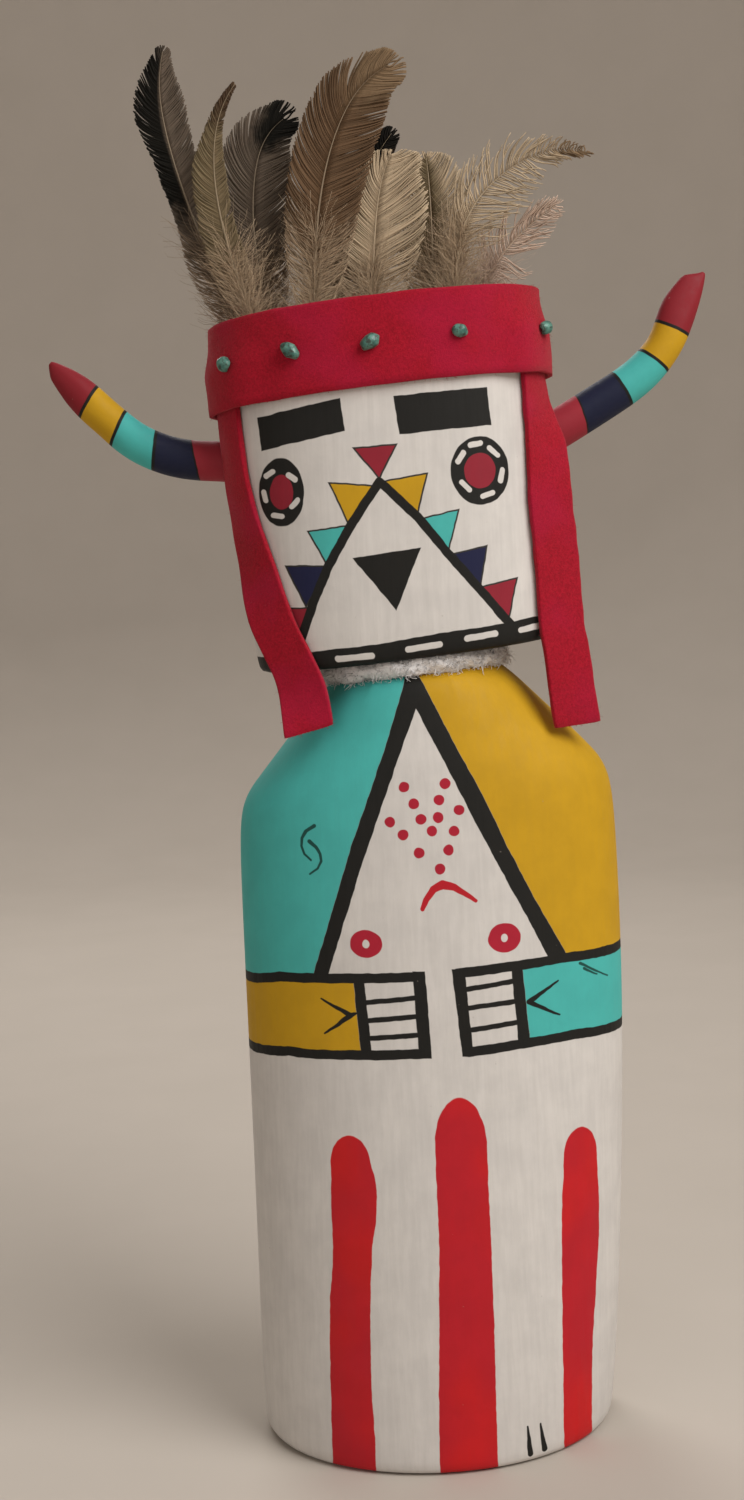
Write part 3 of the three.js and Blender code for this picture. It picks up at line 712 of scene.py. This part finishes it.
def side_curves(paint, sides, handle="VECTOR"):
    """How far across two lines are that run down the body, at each height."""
    return [
        paint.curve_of(paint.z, [(z, x) for x, z in paint.wood.all(side)], handle)
        for side in sides
    ]


def between(paint, sides, handle="VECTOR"):
    """Distance outside the area between two such lines."""
    left, right = side_curves(paint, sides, handle)
    return paint.both(paint.minus(left, paint.x), paint.minus(paint.x, right))


def chest_colours(paint, white, lines):
    """Turquoise and yellow, divided by a black triangle that stays white inside."""
    above = paint.minus(paint.curve_of(paint.x, lines[0] + lines[2], "VECTOR"), paint.z)
    left, right = side_curves(paint, PIXEL_CHEST_OUTER)
    on_left = paint.both(above, paint.minus(paint.x, left))
    on_right = paint.both(above, paint.minus(right, paint.x))
    colour = paint.over(white, on_left, TURQUOISE)
    colour = paint.over(colour, on_right, YELLOW)
    black = paint.both(above, between(paint, PIXEL_CHEST_OUTER))
    return paint.over(colour, paint.without(black, between(paint, PIXEL_CHEST_INNER)), BLACK)


def arm_colours(paint, colour, lines):
    first, last = (paint.wood.all(PIXEL_BARS[i]) for i in (0, -1))
    upper = paint.curve_of(paint.x, lines[0] + lines[2], "VECTOR")
    lower = paint.curve_of(paint.x, lines[1] + lines[3], "VECTOR")
    on_arm = paint.both(paint.minus(paint.z, upper), paint.minus(lower, paint.z))
    left = paint.side(first[0], first[3], (-FAR, first[0][1]))
    right = paint.side(last[1], last[2], (FAR, last[1][1]))
    colour = paint.over(colour, paint.both(on_arm, left), YELLOW)
    return paint.over(colour, paint.both(on_arm, right), TURQUOISE)


def red_marks(paint, colour):
    red = [paint.pixel_oval(centre, (PIXEL_DOT, PIXEL_DOT)) for centre in PIXEL_CHEST_DOTS]
    red += [paint.pixel_oval(*ring) for ring in PIXEL_RINGS]
    colour = paint.over(colour, paint.either(*red), CHEST_RED)
    chevron = paint.either(*(
        paint.pixel_line(arm, *PIXEL_CHEVRON_WIDE[i:i + 2]) for i, arm in enumerate(PIXEL_CHEVRON)))
    colour = paint.over(colour, chevron, RED)
    holes = [paint.pixel_oval(centre, PIXEL_RING_HOLE) for centre, _ in PIXEL_RINGS]
    colour = paint.over(colour, paint.either(*holes), WHITE)
    stripes = paint.either(*(stripe(paint, shape) for shape in PIXEL_STRIPES))
    coats = paint.mix(paint.fade(paint.noise(0.035, 2), 0.38, 0.68, 0, 0.7), RED, WARM_RED)
    return paint.over(colour, stripes, coats)


def stripe(paint, shape):
    """A round-topped stripe whose edges wander as they run down to the base."""
    ends = np.array([paint.wood.at(shape[side][0]) for side in ("left", "right")])
    middle = ends.mean(axis=0)
    inside = between(paint, (shape["left"], shape["right"]), "AUTO")
    body = paint.both(inside, paint.minus(paint.z, float(middle[1])))
    half = (ends[1, 0] - ends[0, 0]) / 2
    return paint.either(body, paint.oval(middle, (half, shape["top"] * PIXEL)))


def black_marks(paint, colour, lines):
    tracks = [(middle, end) for middle, ends in PIXEL_TRACKS for end in ends]
    black = [paint.line(line, PIXEL_ARM_LINE_WIDE * PIXEL) for line in lines]
    black += [paint.pixel_polygon(bar) for bar in PIXEL_BARS]
    black += paint.pixel_strokes(PIXEL_FINGERS, PIXEL_FINGER_WIDE)
    black += paint.pixel_strokes(tracks, *PIXEL_TRACK_WIDE)
    black += paint.pixel_strokes(PIXEL_TICKS, *PIXEL_TICK_WIDE)
    colour = paint.over(colour, paint.either(*black), BLACK)
    thin = [paint.pixel_line(mark, *PIXEL_MARK_WIDE) for mark in PIXEL_MARK]
    thin += paint.pixel_strokes(PIXEL_SMUDGES, *PIXEL_SMUDGE_WIDE)
    return paint.over(colour, paint.either(*thin), DARK_TEAL)


def add_body():
    piece = refined("carved_figure", "carved_body")
    points = points_of(piece)
    above_chin = points[:, 2] - CHIN - points[:, 0] * HEAD_TILT
    deeper = smooth(*CHIN_GROWS, above_chin) * (1 - smooth(*CHIN_FADES, above_chin))
    points[:, 2] -= CHIN_DEEPER * deeper
    move_points(piece, points)
    wood = Wood(piece)
    finished(piece, torso_material(wood), "painted_wood", "carved_body")
    piece.data.materials.append(head_material(wood))
    middles = vectors_of(piece.data.polygons, "center") / MM
    on_head = middles[:, 2] - middles[:, 0] * HEAD_TILT > CHIN - HEAD_PAINT_LOW
    piece.data.polygons.foreach_set("material_index", on_head.astype(np.int32))


# Felt: for each node its flat size in metres, how it is held, what it rests on and its fibres
FELT_SHEETS = {
    "headband": ((0.0215, 0.222), "stretched", ["carved_body"], 1500),
    "strap_left": ((0.0124, 0.098), "hung", ["headband"], 700),
    "strap_right": ((0.0124, 0.098), "hung", ["headband"], 700),
}
NAP_LENGTH, NAP_RADIUS = 0.9, 0.035
FELT_RIPPLE = 0.035
CRISP_HEM = 0.75


def felt_material():
    felt = Finish("red_felt", {
        "Roughness": 0.95, "Sheen Weight": 0.2, "Sheen Roughness": 0.5,
        "Sheen Tint": (1.0, 0.45, 0.45, 1), "Specular IOR Level": 0.15})
    fibre = felt.noise(1.6, 4, 0.75)
    blotch = felt.noise(0.06, 2, 0.5)
    curls = felt.noise(5.0, 3, 0.7)
    colour = felt.mix(felt.fade(fibre, 0.3, 0.7), (0.28, 0.004, 0.015), (0.43, 0.007, 0.024))
    colour = felt.mix(felt.fade(blotch, 0.4, 0.7, 0, 0.5), colour, (0.40, 0.008, 0.045))
    colour = felt.mix(felt.fade(curls, 0.62, 0.75, 0, 0.35), colour, (0.66, 0.05, 0.07))
    felt.colour(colour)
    felt.bump(felt.math("MULTIPLY_ADD", curls, 0.5, fibre), 0.35, 0.7)
    return felt.material


def add_felt():
    felt = felt_material()
    random = np.random.default_rng(11)
    for node, (flat, held, rests_on, fibres) in FELT_SHEETS.items():
        piece = refined("felt_" + node, node, crease=CRISP_HEM)
        points, normals = points_of(piece), normals_of(piece)
        ripple = sum(
            np.sin(points @ random.normal(0, 0.5, 3) + random.uniform(0, 6)) for _ in range(5))
        move_points(piece, points + normals * (FELT_RIPPLE * ripple[:, None]))
        finished(piece, felt, "red_felt", node)
        nap = fuzz(piece.name + "_nap", piece, fibres, NAP_LENGTH, NAP_RADIUS, seed=5 + fibres)
        finished(nap, felt, "red_felt")


# Fleece
RUFF_FULLER = 0.6  # how far its surface stands out past the CAD solid
RUFF_TUFT = 0.13
CURLS, CURL_LENGTH, CURL_RADIUS = 3000, 2.3, 0.11


def fleece_material():
    fleece = Finish("white_fleece", {"Roughness": 0.95, "Sheen Weight": 0.8})
    curl = fleece.noise(2.2, 4, 0.7)
    fleece.colour(fleece.mix(fleece.fade(curl, 0.3, 0.7), (0.86, 0.83, 0.82), (0.97, 0.95, 0.94)))
    fleece.bump(curl, 0.5, 0.8)
    return fleece.material


def add_ruff():
    fleece = fleece_material()
    piece = refined("fleece_ruff", "neck_ruff")
    points, normals = points_of(piece), normals_of(piece)
    random = np.random.default_rng(3)
    tuft = sum(np.sin(points @ random.normal(0, 1.3, 3) + random.uniform(0, 6)) for _ in range(9))
    move_points(piece, points + normals * (RUFF_FULLER + RUFF_TUFT * tuft[:, None]))
    finished(piece, fleece, "fleece", "neck_ruff")
    nap = fuzz("fleece_ruff_nap", piece, CURLS, CURL_LENGTH, CURL_RADIUS, seed=21)
    finished(nap, fleece, "fleece")


# Chips
def chip_material():
    stone = Finish("turquoise_stone", {})
    cloud = stone.noise(0.5, 4, 0.6)
    vein = stone.noise(0.9, 5, 0.7)
    colour = stone.mix(stone.fade(cloud, 0.35, 0.65), (0.035, 0.13, 0.105), (0.12, 0.29, 0.23))
    colour = stone.mix(stone.fade(vein, 0.5, 0.6, 0, 0.9), colour, (0.03, 0.035, 0.025))
    stone.colour(colour)
    stone.rough(stone.fade(vein, 0.4, 0.7, 0.28, 0.6))
    stone.bump(vein, 0.2, 0.5)
    return stone.material


def add_chips():
    stone = chip_material()
    for number in range(1, 6):
        node = f"turquoise_chip_{number}"
        piece = refined(f"turquoise_nugget_{number}", node, merge=0.05)
        finished(piece, stone, "turquoise", node)


# Horns: where the photograph shows the rings between the bands, from the tip
PIXEL_HORN_BANDS = {
    "left": [((94, 391), (80, 415)), ((123, 416), (109, 448)), ((156, 435), (152, 475.5)),
             ((190.5, 440), (200, 483))],
    "right": [((656, 320), (689, 335)), ((638.5, 348), (669, 371)), ((612, 372), (634, 407)),
              ((577, 398), (588, 432))],
}
HORN_TONES = [MAROON, YELLOW, TURQUOISE, HORN_NAVY, HORN_ROOT]
HORN_RINGS = [0.42, 0.42, 0.42, 0.21]  # half of each black ring's width
HORN_BEYOND = [400.0, 400.0, 300.0, 300.0]  # a height on the tip's side of each ring
HORN_SWELL = {  # how far one side of the tip swells out, and which side
    "left": (1.3, (-0.75, 0, -0.65)),
    "right": (2.8, (-0.82, 0, 0.57)),
}
HORN_SWELL_GROWS, HORN_SWELL_FADES = (0, 4), (9, 24)  # distances from the tip


def horn_material(side):
    paint = Painter("painted_horn_" + side, HORN_WOBBLE)
    outward = -FAR if side == "left" else FAR
    low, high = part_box("horn_" + side)
    front = (0.7 * low[1] + 0.3 * high[1]) / MM
    colour = HORN_TONES[-1]
    for number in reversed(range(4)):
        a, b = (on_plane(p, front) for p in PIXEL_HORN_BANDS[side][number])
        beyond = paint.side(a, b, (outward * 2, HORN_BEYOND[number]))
        colour = paint.over(colour, beyond, HORN_TONES[number])
        colour = paint.over(colour, paint.math("ABSOLUTE", beyond), BLACK, HORN_RINGS[number])
    grain = paint.noise(0.8, 3, 0.6)
    return finish_wood(paint, colour, grain, paint.noise(1.4, 3, 0.6, stretch=(0.4, 1, 0.4)))


def add_horns():
    for side in ("left", "right"):
        piece = refined("painted_horn_" + side, "horn_" + side)
        points, normals = points_of(piece), normals_of(piece)
        tip = points[np.argmax(points[:, 2])]
        back = np.linalg.norm(points - tip, axis=1)
        amount, direction = HORN_SWELL[side]
        swell = amount * smooth(*HORN_SWELL_GROWS, back) * (1 - smooth(*HORN_SWELL_FADES, back))
        swell *= np.maximum(normals @ direction, 0)
        move_points(piece, points + np.outer(swell, direction))
        finished(piece, horn_material(side), "horn_paint", "horn_" + side)


# Feathers: their shafts and widths are those of the CAD solids, in the same shares. across and
# behind are shares of the head, the lean is in degrees from foot to tip, and left and right are
# the vane's widths from foot to tip.
HEAD_HALF_WIDTH, HEAD_FRONT = 40.8, 27.0
FEATHER_LENGTH = 72.0
VANE_HALF = 10.0
FEATHER_FIELDS = ("across", "behind", "length", "nod", "stiff", "lean", "left", "right", "tones")
FEATHERS = [dict(zip(FEATHER_FIELDS, row), **more) for row, more in [
    ((-0.838, -0.167, 1, 0.3, 0.9, [-18, -20, -17, -9, 16],
      [0.35, 0.62, 0.44, 0.46, 0.68, 0.2], [0.3, 0.4, 0.34, 0.58, 0.6, 0.2],
      "grey_down smoke smoke smoke"), {"black_left": (0.42, 0.98)}),
    ((-0.74, -0.352, 0.86, 0.3, 0.9, [-17, -15, -8, 8, 40],
      [0.3, 0.55, 0.58, 0.56, 0.28, 0.08], [0.25, 0.4, 0.32, 0.3, 0.16, 0.06],
      "cream_down olive olive umber"), {"splits": [(1, 0.5)]}),
    ((-0.632, 0.056, 0.78, 0.1, 0.95, [-12, -8, 0, 14, 58],
      [0.4, 0.7, 0.85, 0.92, 0.9, 0.5], [0.4, 0.75, 0.9, 0.95, 0.85, 0.45],
      "grey_down smoke smoke ink"), {}),
    ((-0.385, -0.278, 0.945, 0.5, 0.95, [4, 5, 13, 28, 66],
      [0.4, 0.75, 0.84, 0.9, 0.88, 0.45], [0.4, 0.85, 1, 1.05, 0.98, 0.55],
      "cream_down chestnut chestnut fawn"), {"splits": [(-1, 0.94)]}),
    ((-0.275, -0.019, 0.7, 0.2, 0.95, [10, 13, 19, 26, 40],
      [0.4, 0.7, 0.65, 0.55, 0.46, 0.25], [0.4, 0.7, 0.65, 0.55, 0.46, 0.25],
      "cream_down olive umber ink"), {}),
    ((-0.015, -0.185, 0.57, 0.2, 0.85, [2, 4, 6, 12, 28],
      [0.45, 0.9, 1.05, 1.15, 1.1, 0.7], [0.45, 0.95, 1.15, 1.25, 1.2, 0.8],
      "cream_down sand sand sand"), {"level": 40}),
    ((0.38, 0.074, 0.56, 0.1, 0.85, [3, 1, 0, -2, -6],
      [0.45, 0.8, 0.95, 1.05, 1.05, 0.65], [0.45, 0.85, 0.95, 1, 0.9, 0.6],
      "cream_down sand sand sand"), {"level": 39.5, "streak": "olive"}),
    ((0.5, -0.278, 0.83, 0.3, 0.15, [0, 12, 44, 70, 112],
      [0.4, 0.6, 0.7, 0.75, 0.4, 0.1], [0.4, 0.8, 1, 0.9, 0.5, 0.1],
      "cream_down sand sand fawn"), {"sparse": 0.5}),
    ((0.647, -0.074, 0.46, 0.2, 0.0, [14, 30, 42, 52, 58],
      [0.4, 0.8, 0.9, 0.8, 0.55, 0.25], [0.4, 0.7, 0.75, 0.65, 0.5, 0.25],
      "rose_down rose_down rose_down rose_down"), {"sparse": 0.6}),
]]
FEATHER_TONES = {
    "ink": (0.010, 0.009, 0.007), "smoke": (0.13, 0.10, 0.075), "umber": (0.075, 0.046, 0.027),
    "olive": (0.175, 0.132, 0.075), "chestnut": (0.13, 0.078, 0.043), "fawn": (0.21, 0.14, 0.08),
    "sand": (0.47, 0.365, 0.245), "cream_down": (0.48, 0.36, 0.24),
    "grey_down": (0.30, 0.22, 0.15), "rose_down": (0.55, 0.41, 0.32),
}
TONE_CHANGES = [(0.08, 0.36), (0.4, 0.65), (0.74, 0.9)]  # shares of the shaft
SHAFT_PALE = (0.42, 0.34, 0.24)
MIDDLE_X_TOP, LEVEL_TILT = -5.1, math.radians(4.6)
QUILL_DEPTH = 7.0
QUILL_BARE = 1.0
QUILL_RADIUS = 0.9
SHAFT_STEPS = 60
BARB_STEPS = 8
BARBS_PER_MM = 3.4
BARB_GROUP = (8, 26)  # barbs from one parting to the next
DOWNY = (0.10, 0.34)  # shares of the shaft over which down gives way to the vane
LEVELLED = 0.75  # how much of a rise past the feather's level is taken away
SPLIT_GAP = 0.014  # half of a split's width as a share of the shaft
ACROSS, BACKWARD = np.array([1.0, 0, 0]), np.array([0, 1.0, 0])
DOWN_FIBRES = 560
DOWN_STEPS = 7
DOWN_TOP = 0.34  # share of the shaft up to which down grows
DOWN_REACH = (4, 12)
DOWN_RADIUS = 0.06
DOWN_SAG = 0.6  # how far below the shaft's foot it may hang
DOWN_BACK = 26.0  # the doll's back, which the down doesn't pass


class Shaft:
    """A feather's curved shaft, from the top of the head to the tip."""

    def __init__(self, spec):
        self.length = spec["length"] * FEATHER_LENGTH
        self.t = np.linspace(0, 1, SHAFT_STEPS + 1)
        self.angle = np.radians(spread(spec["lean"])(self.t))
        run = self.length / SHAFT_STEPS
        across = spec["across"] * HEAD_HALF_WIDTH
        rim = np.array([
            MIDDLE_X_TOP + across * math.cos(LEVEL_TILT),
            WIDEST_Y + spec["behind"] * HEAD_FRONT,
            HEAD_TOP + across * math.sin(LEVEL_TILT) + QUILL_BARE])
        x = rim[0] + np.r_[0, np.cumsum(run * np.sin(self.angle[:-1]))]
        y = rim[1] - spec["nod"] * VANE_HALF * self.t**2
        z = rim[2] + np.r_[0, np.cumsum(run * np.cos(self.angle[:-1]))]
        self.points = np.stack([x, y, z], 1)

    def at(self, t):
        """The point at t, the way along the shaft there, and the way out to its right."""
        place = min(max(t, 0), 1) * SHAFT_STEPS
        i = min(int(place), SHAFT_STEPS - 1)
        share = place - i
        point = self.points[i] * (1 - share) + self.points[i + 1] * share
        angle = self.angle[i] * (1 - share) + self.angle[i + 1] * share
        along = np.array([math.sin(angle), 0, math.cos(angle)])
        return point, along, np.array([math.cos(angle), 0, -math.sin(angle)])


def add_quill(strands, shaft):
    """The quill and shaft as one tapered rod."""
    foot = shaft.points[0] - np.array([0, 0, QUILL_DEPTH + QUILL_BARE])
    spine = np.vstack([foot, shaft.points])
    radius = np.r_[1, (1 - 0.85 * shaft.t**0.7) * (1 - 0.3 * smooth(0, 0.2, shaft.t))] * QUILL_RADIUS
    tone = np.stack([np.r_[0, shaft.t], np.full(len(spine), 0.5), np.full(len(spine), 1.0)], 1)
    strands.add(spine, ACROSS, BACKWARD, radius, radius * 0.8, tone)


def bezier(a, b, c, d, s):
    s = s[:, None]
    return a * (1 - s) ** 3 + 3 * b * s * (1 - s) ** 2 + 3 * c * s**2 * (1 - s) + d * s**3


def add_vane(strands, spec, shaft, side, random):
    """One side's barbs. Each ends on the vane's outline, further up the shaft than its root,
    and the last ones on a half-round cap past the shaft's end."""
    width = spread([VANE_HALF * w for w in spec["left" if side < 0 else "right"]], 0.06)
    loose = 1 - spec["stiff"]
    count = int(shaft.length * BARBS_PER_MM * spec.get("sparse", 1))
    s = np.linspace(0, 1, BARB_STEPS)
    cap = 0.93 * float(width(1)) / shaft.length
    parting, group_left = 0.0, 0
    for number in range(count):
        t = (number + random.uniform(0.2, 0.8)) / count
        if group_left <= 0:
            group_left = random.integers(*BARB_GROUP)
            parting = random.normal(0, 0.15 + 2 * loose)
        group_left -= 1
        downy = float(1 - smooth(*DOWNY, t)) * (0.5 + 0.5 * loose) + 0.35 * loose
        reach = float(width(t))
        ahead = (reach * random.normal(0.95, 0.01 + 0.28 * downy) + parting) / shaft.length
        for split_side, split_t in spec.get("splits", []):
            if split_side == side:
                gap = t + ahead - split_t
                ahead += SPLIT_GAP * math.copysign(1, gap) * math.exp(-((gap / 0.05) ** 2))
        end_t = t + ahead
        beyond = min(max(end_t - 1, 0), cap)
        tip, tip_along, tip_out = shaft.at(end_t)
        out = float(width(min(end_t, 1))) * random.uniform(0.97 - 0.4 * loose, 1.02 + 0.2 * loose)
        out *= math.sqrt(1 - (beyond / cap) ** 2)
        tip = tip + tip_out * side * out + tip_along * beyond * shaft.length * 0.9
        if "level" in spec:
            over = tip[2] - shaft.points[0, 2] - spec["level"]
            tip[2] -= LEVELLED * max(over, 0)
        root, along, away = shaft.at(t)
        far = np.linalg.norm(tip - root)
        start = unit(along * 0.7 + away * side)
        bend = unit(tip_along * 0.9 + tip_out * side * 0.5)
        spine = bezier(root, root + start * far * 0.4, tip - bend * far * 0.3, tip, s)
        wave = np.sin(s * random.uniform(5, 11) + random.uniform(0, 6)) * downy * s
        spine += (along[None] * wave[:, None]) * random.uniform(0.4, 1.4)
        spine[:, 1] += 0.25 * s + random.normal(0, 0.10 + 1.5 * downy) * s
        run = unit(np.gradient(spine, axis=0))
        wide = unit(np.cross(run, BACKWARD))
        fine = min(downy, 1)
        radius = (0.8 - 0.6 * fine) / BARBS_PER_MM * (1 - (0.35 + 0.4 * fine) * s**4)
        tone = np.stack([
            np.full(BARB_STEPS, t), 0.5 + 0.5 * side * s,
            np.full(BARB_STEPS, random.uniform(0, 0.9)),
        ], 1)
        strands.add(spine, wide, BACKWARD, radius, radius * 0.16 + 0.02, tone)


def add_down(strands, shaft, random):
    """Loose fluff round the foot of a feather, filling the room between it and the next."""
    s = np.linspace(0, 1, DOWN_STEPS)[:, None]
    for _ in range(DOWN_FIBRES):
        t = DOWN_TOP * random.random() ** 1.4
        root = shaft.at(t)[0]
        heading = unit(np.array([
            random.normal(0, 0.75), random.normal(0, 0.4), random.uniform(-0.1, 1.2)]))
        curl = unit(random.normal(0, 1, 3))
        reach = random.uniform(*DOWN_REACH)
        bend = np.sin(s * random.uniform(3, 9) + random.uniform(0, 6)) * 0.15 * reach * s
        spine = root + heading * reach * s + curl * bend + np.array([0, 0, 0.22]) * reach * s**2
        spine[:, 2] = np.maximum(spine[:, 2], shaft.points[0, 2] - DOWN_SAG)
        spine[:, 1] = np.minimum(spine[:, 1], DOWN_BACK)
        side = unit(np.cross(heading, curl))
        thin = DOWN_RADIUS * (1 - 0.5 * s[:, 0])
        tone = np.tile([0.02, 0.5, random.uniform(0, 0.9)], (DOWN_STEPS, 1))
        strands.add(spine, side, unit(np.cross(side, heading)), thin, thin, tone)


def feather_material(name, spec):
    """Colours that change along the vane, darker barbs among lighter ones and a pale shaft."""
    plume = Finish(name, {"Roughness": 0.8, "Specular IOR Level": 0.1})
    tone = plume.make("ShaderNodeAttribute", attribute_name="tone").outputs["Vector"]
    along, across, shade = plume.split(tone)
    tones = [FEATHER_TONES[key] for key in spec["tones"].split()]
    mottle = plume.noise(0.3, 3, 0.6)
    place = plume.math("MULTIPLY_ADD", plume.minus(mottle, 0.5), 0.22, along)
    colour = tones[0]
    for ends, next_tone in zip(TONE_CHANGES, tones[1:]):
        colour = plume.mix(plume.fade(place, *ends), colour, next_tone)
    if "black_left" in spec:
        low, high = spec["black_left"]
        on_left = plume.fade(across, 0.44, 0.5, 1, 0)
        share = plume.times(on_left, plume.fade(place, low - 0.08, low + 0.08))
        share = plume.times(share, plume.fade(along, high - 0.03, high + 0.03, 1, 0.4))
        colour = plume.mix(share, colour, FEATHER_TONES["ink"])
    if "streak" in spec:
        middle = plume.math("ABSOLUTE", plume.minus(across, 0.5))
        share = plume.times(plume.fade(middle, 0.04, 0.26, 1, 0), plume.fade(along, 0.05, 0.3))
        colour = plume.mix(share, colour, FEATHER_TONES[spec["streak"]])
    light = plume.fade(shade, 0.0, 0.9, 0.78, 1.15)
    colour = plume.mix(1.0, colour, plume.join(light, light, light), "MULTIPLY")
    pale = tuple(0.5 * c + 0.5 * p for c, p in zip(tones[1], SHAFT_PALE))
    colour = plume.mix(plume.fade(shade, 0.93, 0.97), colour, pale)
    plume.colour(colour)
    plume.bump(plume.noise(3.0, 2), 0.05, 0.5)
    return plume.material


def add_feathers():
    for number, spec in enumerate(FEATHERS, 1):
        random = np.random.default_rng(100 + number)
        shaft = Shaft(spec)
        strands = Strands()
        add_quill(strands, shaft)
        for side in (-1, 1):
            add_vane(strands, spec, shaft, side, random)
        add_down(strands, shaft, random)
        piece = strands.build(f"plume_{number}")
        finished(piece, feather_material(piece.name, spec), "feather", f"feather_{number}")


# Stage and light
STAGE_FLAT = 0.9
STAGE_WALL = 1.5
STAGE_HEIGHT = 2.2
STAGE_SIDES, STAGE_BENDS = 96, 16
LIT_POINT = (0, 0, 0.16)
LIGHTS = [  # name, place, size, watts and colour
    ("key", (0.66, -0.62, 0.95), 0.9, 13.2, (1.0, 0.98, 0.96)),
    ("fill", (-0.5, -0.8, 0.4), 0.7, 1.0, (0.96, 0.97, 1.0)),
    ("rim", (-0.2, 0.8, 0.8), 0.6, 4.0, (1.0, 0.98, 0.95)),
]
ROOM_COLOUR, ROOM_STRENGTH = (1.0, 0.97, 0.93, 1), 0.38


def add_stage():
    """A pale floor that curves up all round into a plain backdrop."""
    bends = [math.pi / 2 * k / STAGE_BENDS for k in range(STAGE_BENDS + 1)]
    turns = [2 * math.pi * k / STAGE_SIDES for k in range(STAGE_SIDES)]
    reach = STAGE_WALL - STAGE_FLAT
    outline = [(0.0, 0.0)]
    outline += [(STAGE_FLAT + reach * math.sin(b), reach * (1 - math.cos(b))) for b in bends]
    outline.append((STAGE_WALL, STAGE_HEIGHT))
    points = [(r * math.cos(turn), r * math.sin(turn), z) for r, z in outline for turn in turns]
    faces = ring_faces(0, len(outline), STAGE_SIDES)
    stage = add_mesh("floor", np.array(points) / MM, faces)
    pale = Finish("pale_floor", {"Roughness": 0.9})
    cloth = pale.noise(0.02, 3, 0.5)
    pale.colour(pale.mix(cloth, (0.49, 0.44, 0.385), (0.53, 0.475, 0.42)))
    stage.data.materials.append(pale.material)


def add_lights():
    world = bpy.data.worlds.new("soft_room")
    world.use_nodes = True
    room = world.node_tree.nodes["Background"]
    room.inputs[0].default_value = ROOM_COLOUR
    room.inputs[1].default_value = ROOM_STRENGTH
    bpy.context.scene.world = world
    for name, place, size, power, colour in LIGHTS:
        data = bpy.data.lights.new(name, "AREA")
        data.shape = "DISK"
        data.size = size
        data.energy = power
        data.color = colour
        lamp = linked(name, data)
        lamp.location = place
        aim = Vector(LIT_POINT) - Vector(place)
        lamp.rotation_euler = aim.to_track_quat("-Z", "Y").to_euler()
    bpy.context.scene.view_settings.view_transform = "Standard"


add_camera()
add_stage()
add_lights()
add_body()
add_felt()
add_ruff()
add_chips()
add_horns()
add_feathers()
